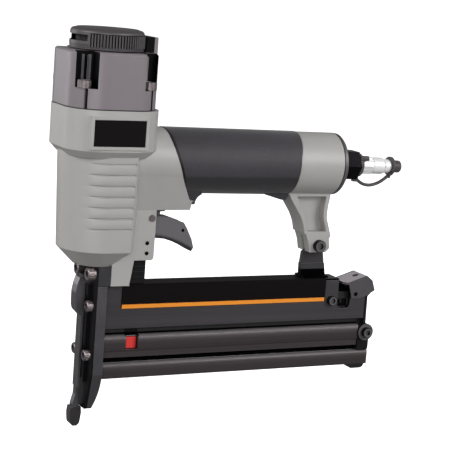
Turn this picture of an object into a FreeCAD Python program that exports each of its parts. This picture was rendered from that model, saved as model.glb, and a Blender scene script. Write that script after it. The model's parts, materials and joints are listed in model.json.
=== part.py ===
import FreeCAD, Part
import Sketcher
import math
import os

# Pneumatic brad nailer and stapler.
# Frame: millimetres, +Z up.  The origin is the point where the fastener enters the work:
# it lies on the driver axis, in the plane of the no-mar pad's contact face.
# +X runs back along the magazine and the handle, and Y = 0 is the middle plane.

# ---------------------------------------------------------------- driving dimensions
SIZES = {
    # main casting: barrel, collar and handle
    "barrel_foot_z": 107.5, "barrel_foot_radius": 13.8, "barrel_cone_z": 118.4,
    "barrel_low_radius": 24.8, "barrel_top_radius": 27.0, "collar_foot_z": 178.2,
    "collar_top_z": 208.2, "collar_front": 29.6, "collar_back": 32.0, "collar_half": 30.8,
    "collar_corner": 21.0, "collar_bevel": 4.6, "flank_back": 16.4, "flank_inset": 0.03,
    "flank_corner": 2.5, "rib_first_z": 174.6, "rib_pitch": 6.9, "rib_back": 14.4,
    "rib_width": 1.1, "rib_depth": 0.7, "bore_radius": 21.4, "bore_floor_z": 119.0,
    "bore_top_radius": 24.0, "bore_step_z": 198.0, "blade_hole_radius": 4.5,
    "handle_axis_front_z": 174.7, "handle_axis_back_z": 173.0, "handle_front": 20.0,
    "handle_back": 168.0, "handle_core_radius": 18.8, "handle_end_radius": 21.2,
    "handle_bore_radius": 14.5, "handle_slope": 0.66, "handle_tilt": 1.6,
    "root_low_z": 143.6, "root_high_z": 168.6, "root_half": 20.2,
    "bracket_half": 13.0, "bracket_back": 36.0, "bracket_foot_z": 110.9,
    "bracket_slot_half": 5.6, "bracket_slot_front": 25.1, "bracket_slot_top_z": 145.8,
    "foot_half": 12.9, "foot_front": 7.6, "foot_low_back": 20.3, "foot_high_back": 22.6,
    "foot_low_z": 94.3, "leg_half": 8.2, "leg_web_half": 1.9, "leg_slot_half": 1.8,
    # head: cap casting, screws and exhaust
    "gasket_thickness": 0.6, "cap_top_z": 243.2, "cap_front": 29.2, "cap_back": 29.6,
    "cap_half": 30.2, "cap_corner": 20.4, "cap_bore_radius": 20.6, "cap_low_radius": 24.0,
    "cap_step_z": 217.2, "cap_edge": 1.2, "cap_roof_z": 237.0, "screw_offset": 21.7,
    "pocket_floor_z": 221.0,
    "pocket_inner": 15.6, "pocket_outer": 26.8, "pocket_depth": 16.0, "tube_radius": 24.4,
    "screw_radius": 2.5, "screw_head_radius": 4.25, "screw_head_height": 5.0,
    "cap_screw_end_z": 187.0, "slit_half": 0.8, "guard_top_z": 253.0, "guard_inner": 25.0,
    "guard_outer": 29.4, "guard_half_width": 12.4, "vent_radius": 3.0, "vent_circle": 13.5,
    "vent_radius_outer": 23.2, "exhaust_low_z": 243.8, "exhaust_shoulder_z": 254.9,
    "exhaust_top_z": 256.8, "exhaust_top_radius": 19.2, "exhaust_wall": 2.2,
    "window_low_z": 248.6, "window_high_z": 252.4, "window_half": 14.2,
    "exhaust_bolt_radius": 2.5, "exhaust_boss_radius": 7.4,
    # cylinder, piston and valve
    "sleeve_outer": 19.0, "sleeve_inner": 17.0, "sleeve_low_z": 119.3, "sleeve_top_z": 217.0,
    "flange_low_z": 198.3, "flange_high_z": 205.0, "flange_radius": 23.7,
    "bumper_low_z": 112.6, "bumper_top_z": 123.5, "bumper_radius": 16.6,
    "bumper_low_radius": 10.4, "bumper_hole": 5.6, "piston_low_z": 207.9,
    "piston_top_z": 216.0, "piston_radius": 16.6, "piston_ring_radius": 16.85,
    "blade_thickness": 1.2, "blade_half": 2.9, "blade_tip_z": 94.6, "blade_top_z": 213.0,
    "valve_low_z": 217.5, "valve_plate_z": 222.0, "valve_top_z": 230.0, "valve_radius": 20.2,
    "valve_wall": 3.2,
    # nose
    "nose_half": 13.0, "guide_front": 1.0, "guide_back": 5.6, "plate_front": 3.0,
    "plate_back": 1.15, "nose_top_z": 94.2, "nose_shoulder_z": 36.0, "nose_tip_z": 12.0,
    "nose_tip_half": 6.5, "block_back": 7.3, "block_low_z": 94.5, "block_top_z": 107.4,
    "channel_half": 3.2, "channel_depth": 0.95, "arm_inner": 3.9, "arm_outer": 5.1,
    "arm_low_z": 95.2, "arm_high_z": 97.2, "arm_slot_top_z": 106.6, "arm_gap": 0.3,
    "top_screw_z": 102.0, "top_screw_half": 9.8, "top_screw_end": 18.0,
    "plate_screw_half": 9.3, "plate_screw_high_z": 81.0, "plate_screw_low_z": 48.8,
    "plate_screw_radius": 2.0, "plate_screw_head": 3.5, "plate_screw_height": 4.0,
    "bridge_front": 23.6, "bridge_back": 32.2, "contact_half": 4.1, "contact_front": 7.7,
    "contact_foot_half": 2.4, "pad_half": 3.5,
    "rail_rise": 1.4, "finger_top_z": 127.2, "guide_box_top_z": 110.5, "guide_box_half": 6.5,
    "link_front": 25.5, "link_back": 27.0, "link_half": 4.0,
    # magazine
    "mag_front": 6.0, "mag_back": 202.2, "mag_half": 8.0, "mag_top_z": 93.9,
    "mag_low_z": 65.0, "mag_wall": 2.4, "slide_front": 6.4,
    "slide_back": 198.6, "slide_low_z": 31.7, "slide_lip_z": 41.7, "slide_groove_z": 45.6,
    "slide_step_z": 50.2, "slide_rail_z": 60.4, "slide_half": 8.0, "slide_groove_half": 4.8,
    "slide_step_half": 7.6, "slide_rail_half": 8.6, "rail_half": 5.1, "rail_inner": 3.4,
    "rail_top_z": 83.8, "rail_floor_z": 37.0, "hollow_half": 6.1,
    "hollow_low_z": 47.0, "hollow_high_z": 59.0, "view_front": 22.6, "view_back": 31.2,
    "view_low_z": 50.8, "slide_edge": 1.4, "bar_back": 208.2,
    "end_front": 198.9, "end_back": 207.9, "end_low_z": 42.0, "end_catch_z": 86.6,
    "tongue_half": 5.0, "tongue_low_z": 58.0, "well_front": 180.0, "well_floor_z": 86.6,
    "well_skin": 1.5, "window_front": 180.0, "window_back": 190.0, "window_foot_z": 72.8,
    "end_bolt_x": 204.3, "end_bolt_z": 55.1, "end_washer": 6.0, "end_bolt_head": 3.7,
    "pusher_front": 8.5, "pusher_back": 31.5, "pusher_half": 3.1, "wing_half": 5.7,
    "pusher_low_z": 38.0, "pusher_top_z": 83.0, "rod_z": 64.0, "rod_radius": 1.2, "rod_hole": 1.6,
    "label_front": 17.6, "label_back": 169.5, "label_low_z": 78.2, "label_skin": 0.25,
    # latch and rear support
    "latch_pin_x": 193.5, "latch_pin_z": 82.6, "latch_pin_radius": 1.5, "latch_gap": 0.35,
    "latch_sheet": 1.2, "bracket_foot_half": 2.2, "bracket_neck_half": 1.5,
    "bracket_bend_z": 104.0, "mag_bolt_x": 174.8, "mag_bolt_z": 78.6, "mag_bolt_head": 3.4,
    "leg_bolt_x": 160.6, "leg_bolt_z": 117.4, "leg_bolt_radius": 2.5,
    # rubber grip, end cap and air inlet
    "grip_radius": 21.5, "grip_gap": 0.15, "gasket_back": 168.8, "end_cap_back": 171.8,
    "end_cap_radius": 21.0, "bushing_radius": 11.0, "bushing_back": 188.2,
    "ring_back": 191.7, "ring_radius": 8.1, "plug_hex_radius": 6.7, "plug_end": 223.6,
    "plug_radius": 3.4, "dust_front": 216.6, "dust_back": 225.0, "dust_radius": 4.3,
    "dust_flange": 1.4, "dust_flange_radius": 6.7, "strap_radius": 1.0, "strap_lug_z": 161.4,
    # trigger group
    "pivot_x": 33.2, "pivot_z": 138.4, "pivot_radius": 1.6, "pivot_head": 2.2,
    "trigger_half": 5.2,
    "trigger_wall": 1.5, "toggle_x": 59.1, "toggle_z": 128.6, "toggle_pin_radius": 1.1,
    "toggle_half": 1.6, "valve_x": 42.8, "valve_body_radius": 4.6, "valve_foot_z": 141.2,
    "stem_radius": 1.4, "stem_low_z": 138.8, "stem_head_radius": 3.0,
    "guide_pin_x": 30.9, "guide_pin_radius": 1.25,
    # name plates
    "badge_half_x": 17.0, "badge_low_z": 186.4, "badge_high_z": 202.6, "badge_frame": 2.2,
}


class Dim:
    """A length that knows its number and the sheet formula that gives it."""

    def __init__(self, number, formula):
        self.number = float(number)
        self.formula = formula

    def join(self, other, sign, swap=False):
        left, right = (dim(other), self) if swap else (self, dim(other))
        if sign == "+":
            number = left.number + right.number
        elif sign == "-":
            number = left.number - right.number
        elif sign == "*":
            number = left.number * right.number
        else:
            number = left.number / right.number
        return Dim(number, f"({left.formula} {sign} {right.formula})")

    def __add__(self, other):
        return self.join(other, "+")

    def __radd__(self, other):
        return self.join(other, "+", True)

    def __sub__(self, other):
        return self.join(other, "-")

    def __rsub__(self, other):
        return self.join(other, "-", True)

    def __mul__(self, other):
        return self.join(other, "*")

    def __rmul__(self, other):
        return self.join(other, "*", True)

    def __truediv__(self, other):
        return self.join(other, "/")

    def __neg__(self):
        return Dim(-self.number, f"(-1 * {self.formula})")


def dim(value):
    """A Dim from a Dim or from a plain number."""
    return value if isinstance(value, Dim) else Dim(value, repr(round(float(value), 6)))


class Sheet:
    """The driving dimensions, one attribute for each alias of the spreadsheet."""

    def __init__(self, doc):
        cells = doc.addObject("Spreadsheet::Sheet", "size")
        for row, (name, number) in enumerate(SIZES.items(), 1):
            cells.set(f"A{row}", name)
            cells.set(f"B{row}", str(number))
            cells.setAlias(f"B{row}", name)
            setattr(self, name, Dim(number, f"size.{name}"))
        doc.recompute()


DOC = FreeCAD.newDocument("brad_nailer")
S = Sheet(DOC)
PIECES = []


# ---------------------------------------------------------------- a small feature vocabulary
def root_of_sum(first, second):
    """The length of the vector (first, second), as a Dim."""
    total = first * first + second * second
    return Dim(math.sqrt(total.number), f"sqrt{total.formula}")


class Piece:
    """One sub-part: a PartDesign body whose sketches and features read the sheet."""

    def __init__(self, label, several=False):
        self.body = DOC.addObject("PartDesign::Body", label)
        self.body.Label = label
        self.body.AllowCompound = several
        self.body.Placement = FreeCAD.Placement()
        PIECES.append(self.body)

    def sketch(self, plane, offset=0, lift=0, lean=0.0):
        """A sketch on XY, XZ or YZ, moved along +Z, -Y or +X by the offset and raised by the
        lift, its normal leaning down by an angle in degrees."""
        page = self.body.newObject("Sketcher::SketchObject", "sketch")
        support = [f for f in self.body.Origin.OriginFeatures if f.Role == plane + "_Plane"]
        page.AttachmentSupport = [(support[0], "")]
        page.MapMode = "FlatFace"
        shift, rise = dim(offset), dim(lift)
        page.AttachmentOffset = FreeCAD.Placement(
            FreeCAD.Vector(0, rise.number, shift.number),
            FreeCAD.Rotation(FreeCAD.Vector(1, 0, 0), lean))
        page.setExpression(".AttachmentOffset.Base.y", rise.formula)
        page.setExpression(".AttachmentOffset.Base.z", shift.formula)
        return page

    def feature(self, kind, page, **settings):
        made = self.body.newObject("PartDesign::" + kind, kind.lower())
        made.Profile = page
        for name, setting in settings.items():
            if isinstance(setting, Dim):
                setattr(made, name, setting.number)
                made.setExpression(name, setting.formula)
            else:
                setattr(made, name, setting)
        page.Visibility = False
        DOC.recompute()
        return made

    def pad(self, page, length, middle=False, back=False):
        side = "Symmetric" if middle else "One side"
        return self.feature("Pad", page, SideType=side, Reversed=back, Length=dim(length))

    def pocket(self, page, length, middle=False, back=False):
        before = self.body.Shape.Volume
        side = "Symmetric" if middle else "One side"
        made = self.feature("Pocket", page, SideType=side, Reversed=back, Length=dim(length))
        if self.body.Shape.Volume > before - 1e-4:
            raise RuntimeError(f"{self.body.Label}: a pocket cuts nothing")
        return made

    def revolve(self, page, cut=False):
        """Turn a sketch about its own vertical axis."""
        kind = "Groove" if cut else "Revolution"
        return self.feature(kind, page, ReferenceAxis=(page, ["V_Axis"]), Angle=360.0)

    def loft(self, pages, cut=False):
        made = self.body.newObject("PartDesign::" + ("Subtractive" if cut else "Additive") + "Loft",
                                   "loft")
        made.Profile = pages[0]
        made.Sections = pages[1:]
        DOC.recompute()
        return made

    def dress(self, kind, size, chosen):
        """Fillet or chamfer the edges that the test chooses."""
        edges = self.body.Shape.Edges
        names = [f"Edge{i + 1}" for i, edge in enumerate(edges) if chosen(edge)]
        if not names:
            raise RuntimeError(f"{self.body.Label}: no edge to {kind.lower()}")
        base = self.body.Tip
        made = self.body.newObject("PartDesign::" + kind, kind.lower())
        made.Base = (base, names)
        amount = dim(size)
        prop = "Radius" if kind == "Fillet" else "Size"
        setattr(made, prop, amount.number)
        made.setExpression(prop, amount.formula)
        DOC.recompute()
        return made

    def fillet(self, size, chosen):
        return self.dress("Fillet", size, chosen)

    def chamfer(self, size, chosen):
        return self.dress("Chamfer", size, chosen)


def bind(page, constraint, amount):
    """Add a constraint whose value comes from the sheet."""
    number = page.addConstraint(constraint)
    page.setExpression(f"Constraints[{number}]", amount.formula)


def pin_point(page, geometry, end, place):
    """Fix one end of a line or arc at a point."""
    across, up = dim(place[0]), dim(place[1])
    bind(page, Sketcher.Constraint("DistanceX", -1, 1, geometry, end, across.number), across)
    bind(page, Sketcher.Constraint("DistanceY", -1, 1, geometry, end, up.number), up)


def outline(page, corners):
    """A closed outline.  A corner's third value is the bulge of an arc to the next corner,
    positive to the right of the way it runs."""
    count = len(corners)
    ends = []
    for i, corner in enumerate(corners):
        after = corners[(i + 1) % count]
        start = FreeCAD.Vector(dim(corner[0]).number, dim(corner[1]).number, 0)
        stop = FreeCAD.Vector(dim(after[0]).number, dim(after[1]).number, 0)
        if len(corner) == 3:
            bulge = dim(corner[2])
            along = (stop - start).normalize()
            side = FreeCAD.Vector(along.y, -along.x, 0)
            middle = (start + stop) * 0.5 + side * bulge.number
            geometry = page.addGeometry(Part.Arc(start, middle, stop), False)
            run = root_of_sum(dim(after[0]) - corner[0], dim(after[1]) - corner[1])
            tall = Dim(abs(bulge.number), f"abs({bulge.formula})")
            radius = run * run / (8 * tall) + tall / 2
        else:
            geometry = page.addGeometry(Part.LineSegment(start, stop), False)
            radius = None
        forward = (page.getPoint(geometry, 1) - start).Length < 1e-6
        ends.append((geometry, 1 if forward else 2, 2 if forward else 1, radius))
    for i, (geometry, near, far, radius) in enumerate(ends):
        following = ends[(i + 1) % count]
        page.addConstraint(Sketcher.Constraint("Coincident", geometry, far, following[0], following[1]))
    for (geometry, near, far, radius), corner in zip(ends, corners):
        pin_point(page, geometry, near, corner)
        if radius is not None:
            bind(page, Sketcher.Constraint("Radius", geometry, radius.number), radius)
    return page


def rectangle(page, left, low, right, high):
    return outline(page, [(left, low), (right, low), (right, high), (left, high)])


def rounded(page, left, low, right, high, corner):
    """A rectangle with four round corners."""
    bulge = corner * (1 - math.sqrt(0.5))
    return outline(page, [
        (left + corner, low), (right - corner, low, bulge), (right, low + corner),
        (right, high - corner, bulge), (right - corner, high), (left + corner, high, bulge),
        (left, high - corner), (left, low + corner, bulge)])


def circle(page, across, up, radius):
    across, up, radius = dim(across), dim(up), dim(radius)
    centre = FreeCAD.Vector(across.number, up.number, 0)
    shape = Part.Circle(centre, FreeCAD.Vector(0, 0, 1), radius.number)
    geometry = page.addGeometry(shape, False)
    pin_point(page, geometry, 3, (across, up))
    bind(page, Sketcher.Constraint("Radius", geometry, radius.number), radius)
    return page


def hexagon(page, across, up, radius, turn=0):
    """A regular hexagon of the given corner radius."""
    angles = [math.radians(turn + 60 * i) for i in range(6)]
    spots = [(across + radius * math.cos(a), up + radius * math.sin(a)) for a in angles]
    return outline(page, spots)


def upright(edge):
    box = edge.BoundBox
    return box.XLength < 1e-4 and box.YLength < 1e-4


def crosswise(edge):
    box = edge.BoundBox
    return box.XLength < 1e-4 and box.ZLength < 1e-4


def lengthwise(edge):
    box = edge.BoundBox
    return box.YLength < 1e-4 and box.ZLength < 1e-4


def level_at(edge, height):
    box = edge.BoundBox
    return box.ZLength < 1e-3 and abs(box.ZMin - height) < 0.02


def finish(label, shape):
    """Keep a shape that Part's own functions made as a sub-part."""
    holder = DOC.addObject("Part::Feature", label)
    holder.Label = label
    holder.Shape = shape
    holder.Placement = FreeCAD.Placement()
    PIECES.append(holder)
    return holder


def tilt(piece):
    """Set a piece that was drawn on a level axis onto the sloping axis of the handle."""
    pivot = FreeCAD.Vector(S.handle_back.number, 0, S.handle_axis_back_z.number)
    turn = FreeCAD.Rotation(FreeCAD.Vector(0, 1, 0), S.handle_tilt.number)
    piece.body.Placement = FreeCAD.Placement(FreeCAD.Vector(), turn, pivot)


def coil(label, radius, wire, low, high, turns, place, axis=(0, 0, 1)):
    """A compression spring from the low end to the high end of an axis through a place."""
    radius, wire, low, high = dim(radius), dim(wire), dim(low), dim(high)
    start = FreeCAD.Vector(*[way.number for way in place])
    rise = high - low - 2 * wire
    spine = DOC.addObject("Part::Helix", "spring_path")
    spine.setExpression("Radius", radius.formula)
    spine.setExpression("Pitch", (rise / turns).formula)
    spine.setExpression("Height", rise.formula)
    spine.SegmentLength = 1.0
    ring = DOC.addObject("Part::Circle", "spring_wire")
    ring.setExpression("Radius", wire.formula)
    ring.setExpression("Placement.Base.x", radius.formula)
    ring.Placement.Rotation = FreeCAD.Rotation(FreeCAD.Vector(1, 0, 0), 90)
    DOC.recompute()
    spring = DOC.addObject("Part::Sweep", label)
    spring.Label = label
    spring.Sections = [ring]
    spring.Spine = (spine, [f"Edge{i + 1}" for i in range(len(spine.Shape.Edges))])
    spring.Solid = True
    spring.Frenet = True
    turn = FreeCAD.Rotation(FreeCAD.Vector(0, 0, 1), FreeCAD.Vector(*axis))
    lift = turn.multVec(FreeCAD.Vector(0, 0, (low + wire).number))
    spring.Placement = FreeCAD.Placement(start + lift, turn)
    DOC.recompute()
    PIECES.append(spring)
    return spring


# ---------------------------------------------------------------- main casting
def collar_outline(piece, height, inset):
    """The collar's plan, drawn smaller by an inset."""
    return rounded(piece.sketch("XY", height), -S.collar_front + inset, -S.collar_half + inset,
                   S.collar_back - inset, S.collar_half - inset, S.collar_corner - inset)


def barrel(piece):
    """The turned barrel with its cone, and the bevelled collar that carries the head."""
    piece.revolve(outline(piece.sketch("XZ"), [
        (0, S.barrel_foot_z), (S.barrel_foot_radius, S.barrel_foot_z),
        (S.barrel_low_radius, S.barrel_cone_z), (S.barrel_top_radius, S.collar_foot_z),
        (S.barrel_top_radius, S.collar_top_z), (0, S.collar_top_z)]))
    bevel = S.collar_foot_z + S.collar_bevel
    piece.loft([collar_outline(piece, S.collar_foot_z, S.collar_bevel),
                collar_outline(piece, bevel, dim(0))])
    piece.pad(collar_outline(piece, bevel, dim(0)), S.collar_top_z - bevel)


def barrel_radius(height):
    """The barrel's outer radius at a height above the cone."""
    share = (height - S.barrel_cone_z) / (S.collar_foot_z - S.barrel_cone_z)
    return S.barrel_low_radius + (S.barrel_top_radius - S.barrel_low_radius) * share


def flank_page(piece, height, half, back):
    """Plan of the barrel's squared rear half, its two rear corners round."""
    corner = S.flank_corner
    bulge = corner * (1 - math.sqrt(0.5))
    return outline(piece.sketch("XY", height), [
        (0, -half), (back - corner, -half, bulge), (back, corner - half),
        (back, half - corner, bulge), (back - corner, half), (0, half)])


def flanks(piece):
    """Flat flanks that run on from the round front half of the barrel, and of its cone."""
    cone, top = S.barrel_cone_z, S.collar_foot_z + 1
    half = S.barrel_low_radius - S.flank_inset
    piece.loft([flank_page(piece, cone, half, S.flank_back),
                flank_page(piece, top, barrel_radius(top) - S.flank_inset, S.flank_back)])
    piece.loft([flank_page(piece, S.barrel_foot_z + 2, S.barrel_foot_radius + 1.8, dim(8)),
                flank_page(piece, cone, half, S.flank_back)])


def around(radius, degrees, side):
    """A point at a radius, by its angle forward of the flank's middle."""
    angle = math.radians(degrees)
    return -radius * math.sin(angle), side * radius * math.cos(angle)


def ribs(piece):
    """Fine level grooves that fade in round the front of each flank."""
    fade, full = 34, 24
    for i in range(7):
        low = S.rib_first_z - i * S.rib_pitch - S.rib_width / 2
        page = piece.sketch("XY", low)
        floor, clear = barrel_radius(low) - S.rib_depth, barrel_radius(low) + 1.2
        for side in (-1, 1):
            inner = -side * floor * (1 - math.cos(math.radians(full / 2)))
            outer = side * clear * (1 - math.cos(math.radians(fade / 2)))
            outline(page, [
                around(clear - 1.1, fade, side), (*around(floor, full, side), inner),
                (0, side * floor), (S.rib_back, side * floor), (S.rib_back, side * clear),
                (0, side * clear, outer), around(clear, fade, side)])
        piece.pocket(page, S.rib_width, back=True)


def handle_axis(place):
    """Height of the handle's sloping axis at a place along it."""
    share = (place - S.handle_front) / (S.handle_back - S.handle_front)
    return S.handle_axis_front_z + (S.handle_axis_back_z - S.handle_axis_front_z) * share


def handle_tube(piece, front, back, radius, cut=False):
    """A round length of the handle, on its sloping axis."""
    front = dim(front)
    page = piece.sketch("YZ", front, handle_axis(front), S.handle_slope.number)
    circle(page, 0, 0, radius)
    if cut:
        piece.pocket(page, back - front, back=True)
    else:
        piece.pad(page, back - front)


def handle_root(piece):
    """The neck between the barrel and the grip's slanting front edge: round above, and
    drawn in below to the width of the trigger's plates."""
    handle_tube(piece, 8, 66, S.handle_end_radius)
    page = outline(piece.sketch("YZ", 8), [
        (-S.bracket_half, S.root_low_z), (S.bracket_half, S.root_low_z),
        (S.root_half, S.root_high_z), (-S.root_half, S.root_high_z)])
    piece.pad(page, 58)
    heel = outline(piece.sketch("XZ"), [
        (59.4, S.root_low_z - 2), (59.4, S.root_low_z), (59.8, S.root_low_z + 6),
        (72, S.root_low_z + 6), (72, S.root_low_z - 2)])
    piece.pocket(heel, 60, middle=True)
    trim = outline(piece.sketch("XZ"), [
        (61.4, 149.6), (57.8, 150.2), (51.6, 162.0), (47.4, 172.0), (43.8, 182.0),
        (41.8, 190.0), (40.8, 198.0), (72, 198), (72, 140), (61.4, 140)])
    piece.pocket(trim, 60, middle=True)


def trigger_bracket(piece):
    """The plates beside the trigger and the foot that carries the nose."""
    page = rectangle(piece.sketch("XZ"), 8, S.bracket_foot_z, S.bracket_back, 150)
    piece.pad(page, 2 * S.bracket_half, middle=True)
    page = outline(piece.sketch("XZ"), [
        (S.foot_front, S.foot_low_z), (S.foot_low_back, S.foot_low_z),
        (S.foot_high_back, S.bracket_foot_z), (S.foot_high_back, 124), (S.foot_front, 124)])
    piece.pad(page, 2 * S.foot_half, middle=True)
    piece.fillet(2.2, lambda edge: crosswise(edge)
                 and abs(edge.BoundBox.XMin - S.bracket_back.number) < 0.01
                 and abs(edge.BoundBox.ZMin - S.bracket_foot_z.number) < 0.01)


def rear_leg(piece):
    """The leg down to the magazine, an H-section with a boss at the bottom."""
    piece.pad(outline(piece.sketch("XZ"), [
        (131.5, 158), (137.0, 149), (143.3, 140, -0.9), (148.8, 126), (150.3, 125.3),
        (152.4, 120), (154.0, 112.8), (166.5, 112.8), (169.4, 115.5), (168.6, 122.0),
        (169.6, 124.4), (165.4, 136.5, -0.5), (166.6, 151), (166.6, 158)]),
        2 * S.leg_half, middle=True)
    for side in (-1, 1):
        page = outline(piece.sketch("XZ", -side * S.leg_web_half), [
            (141.0, 151.5), (146.6, 140, -0.7), (151.2, 127.2), (165.8, 127.2),
            (162.6, 137, -0.4), (163.6, 151.5)])
        piece.pocket(page, S.leg_half, back=side < 0)
    slot = rectangle(piece.sketch("XZ"), 150, 110, 172, 123.2)
    piece.pocket(slot, 2 * S.leg_slot_half, middle=True)
    hole = circle(piece.sketch("XZ"), S.leg_bolt_x, S.leg_bolt_z, S.leg_bolt_radius + 0.1)
    piece.pocket(hole, 3 * S.leg_half, middle=True)


def casting_bores(piece):
    """The barrel's bore, the air way in the handle and the small bores of the casting."""
    piece.revolve(outline(piece.sketch("XZ"), [
        (0, S.barrel_foot_z - 1), (S.blade_hole_radius, S.barrel_foot_z - 1),
        (S.blade_hole_radius, 112.2), (S.bumper_low_radius + 0.2, 112.2),
        (S.bumper_radius + 0.4, S.bore_floor_z), (S.bore_radius, S.bore_floor_z),
        (S.bore_radius, S.bore_step_z), (S.bore_top_radius, S.bore_step_z),
        (S.bore_top_radius, S.collar_top_z + 1), (0, S.collar_top_z + 1)]), cut=True)
    handle_tube(piece, 16, S.handle_back + 1, S.handle_bore_radius, cut=True)
    screws = piece.sketch("XY", S.collar_top_z)
    for across in (-1, 1):
        for up in (-1, 1):
            circle(screws, across * S.screw_offset, up * S.screw_offset, S.screw_radius + 0.1)
    piece.pocket(screws, S.collar_top_z - S.cap_screw_end_z + 1)
    valve = circle(piece.sketch("XY", 140), S.valve_x, 0, S.valve_body_radius + 0.1)
    piece.pocket(valve, 24, back=True)
    nose = piece.sketch("YZ", S.foot_front)
    for side in (-1, 1):
        circle(nose, side * S.top_screw_half, S.top_screw_z, S.screw_radius + 0.1)
    piece.pocket(nose, S.top_screw_end - S.foot_front + 0.5, back=True)


def casting_slots(piece):
    """Room for the trigger, the safety link and its two arms."""
    page = rectangle(piece.sketch("XZ"), S.bracket_slot_front, 100, 40, S.bracket_slot_top_z)
    piece.pocket(page, 2 * S.bracket_slot_half, middle=True)
    arms = piece.sketch("YZ", S.foot_front - 1)
    for side in (-1, 1):
        near, far = side * (S.arm_inner - S.arm_gap), side * (S.arm_outer + S.arm_gap)
        rectangle(arms, near, S.foot_low_z - 1, far, S.arm_slot_top_z)
    piece.pocket(arms, 20, back=True)
    relief = rectangle(piece.sketch("XY", S.barrel_foot_z - 1), -14, -5.6,
                       -S.plate_front + 0.4, 5.6)
    piece.pocket(relief, 3.2, back=True)
    holes = piece.sketch("XZ")
    circle(holes, S.pivot_x, S.pivot_z, S.pivot_radius + 0.02)
    for height in (122.2, 115.5):
        circle(holes, S.guide_pin_x, height, S.guide_pin_radius + 0.02)
    piece.pocket(holes, 3 * S.bracket_half, middle=True)


def badge_frames(piece):
    """A raised frame on each flank of the collar, round a bare name plate."""
    half, low, high = S.badge_half_x, S.badge_low_z, S.badge_high_z
    edge = S.badge_frame
    for side in (-1, 1):
        page = rectangle(piece.sketch("XZ", -side * 24), -half - edge, low - edge,
                         half + edge, high + edge)
        piece.pad(page, S.collar_half + 0.7 - 24, back=side > 0)
        page = rectangle(piece.sketch("XZ", -side * S.collar_half), -half - 0.15, low - 0.15,
                         half + 0.15, high + 0.15)
        piece.pocket(page, 3, back=side < 0)


def rear_tube(piece):
    """The full round end of the handle, cut slantwise where the grip ends."""
    handle_tube(piece, 132, S.handle_back + 0.5, S.handle_end_radius)
    trim = outline(piece.sketch("XZ"), [
        (134.3, 148), (134.5, 164.6), (135.1, 179.7), (138.9, 194.1), (138.9, 200),
        (124, 200), (124, 148)])
    piece.pocket(trim, 60, middle=True)


def handle_face(piece):
    """The handle's end face, square to the plate and gasket that close it."""
    waste = piece.sketch("YZ", S.handle_back, S.handle_axis_back_z, S.handle_tilt.number)
    circle(waste, 0, 0, S.handle_end_radius + 4)
    piece.pocket(waste, 3, back=True)


def housing():
    piece = Piece("housing", several=True)
    barrel(piece)
    flanks(piece)
    ribs(piece)
    handle_root(piece)
    rear_tube(piece)
    handle_tube(piece, 20, S.handle_back + 0.5, S.handle_core_radius)
    handle_face(piece)
    trigger_bracket(piece)
    rear_leg(piece)
    badge_frames(piece)
    casting_bores(piece)
    casting_slots(piece)


# ---------------------------------------------------------------- head
def cap_page(piece, height, inset):
    return rounded(piece.sketch("XY", height), -S.cap_front + inset, -S.cap_half + inset,
                   S.cap_back - inset, S.cap_half - inset, S.cap_corner - inset)


def screw_spots():
    """The four corners where the cap's screws stand."""
    return [(i * S.screw_offset, j * S.screw_offset) for i in (-1, 1) for j in (-1, 1)]


def cap_pockets(piece, parting):
    """Four corner pockets for the screw heads, with a hole and a slit under each head."""
    holes = piece.sketch("XY", parting)
    for across, up in screw_spots():
        circle(holes, across, up, S.screw_radius + 0.1)
    piece.pocket(holes, S.pocket_floor_z - parting + 1, back=True)
    for i in (-1, 1):
        for j in (-1, 1):
            corner = rectangle(piece.sketch("XY", S.pocket_floor_z), i * S.pocket_inner,
                               j * S.pocket_depth, i * S.pocket_outer, j * 40)
            piece.pocket(corner, S.cap_top_z - S.pocket_floor_z + 1, back=True)
            slit = rectangle(piece.sketch("XY", parting), i * (S.screw_offset - S.slit_half),
                             j * (S.screw_offset + 1), i * (S.screw_offset + S.slit_half),
                             j * 40)
            piece.pocket(slit, S.pocket_floor_z - parting + 0.5, back=True)


def cylinder_cap():
    """The head casting: a square cap with round corners, a guard at the back of its top."""
    piece = Piece("cylinder_cap")
    parting = S.collar_top_z + S.gasket_thickness
    edge = S.cap_top_z - S.cap_edge
    piece.pad(cap_page(piece, parting, dim(0)), edge - parting)
    piece.loft([cap_page(piece, edge, dim(0)), cap_page(piece, S.cap_top_z, S.cap_edge)])
    cap_pockets(piece, parting)
    piece.pad(circle(piece.sketch("XY", S.pocket_floor_z - 1), 0, 0, S.tube_radius),
              S.cap_top_z - S.pocket_floor_z + 1)
    reach = S.guard_half_width
    flat = 21.7
    guard = outline(piece.sketch("XY", S.cap_top_z - 2), [
        (flat, -reach), (S.guard_outer, -reach), (S.guard_outer, reach),
        (flat, reach, flat - S.guard_inner)])
    piece.pad(guard, S.guard_top_z - S.cap_top_z + 2)
    piece.revolve(outline(piece.sketch("XZ"), [
        (0, parting - 1), (S.cap_low_radius, parting - 1), (S.cap_low_radius, S.cap_step_z),
        (S.cap_bore_radius, S.cap_step_z), (S.cap_bore_radius, S.cap_roof_z),
        (0, S.cap_roof_z)]), cut=True)
    vents = piece.sketch("XY", S.cap_roof_z - 1)
    for i in range(6):
        turn = math.radians(60 * i)
        circle(vents, math.cos(turn) * S.vent_circle, math.sin(turn) * S.vent_circle,
               S.vent_radius)
    piece.pocket(vents, 10, back=True)
    hole = circle(piece.sketch("XY", S.cap_roof_z - 1), 0, 0, S.exhaust_bolt_radius + 0.1)
    piece.pocket(hole, 10, back=True)


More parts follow.
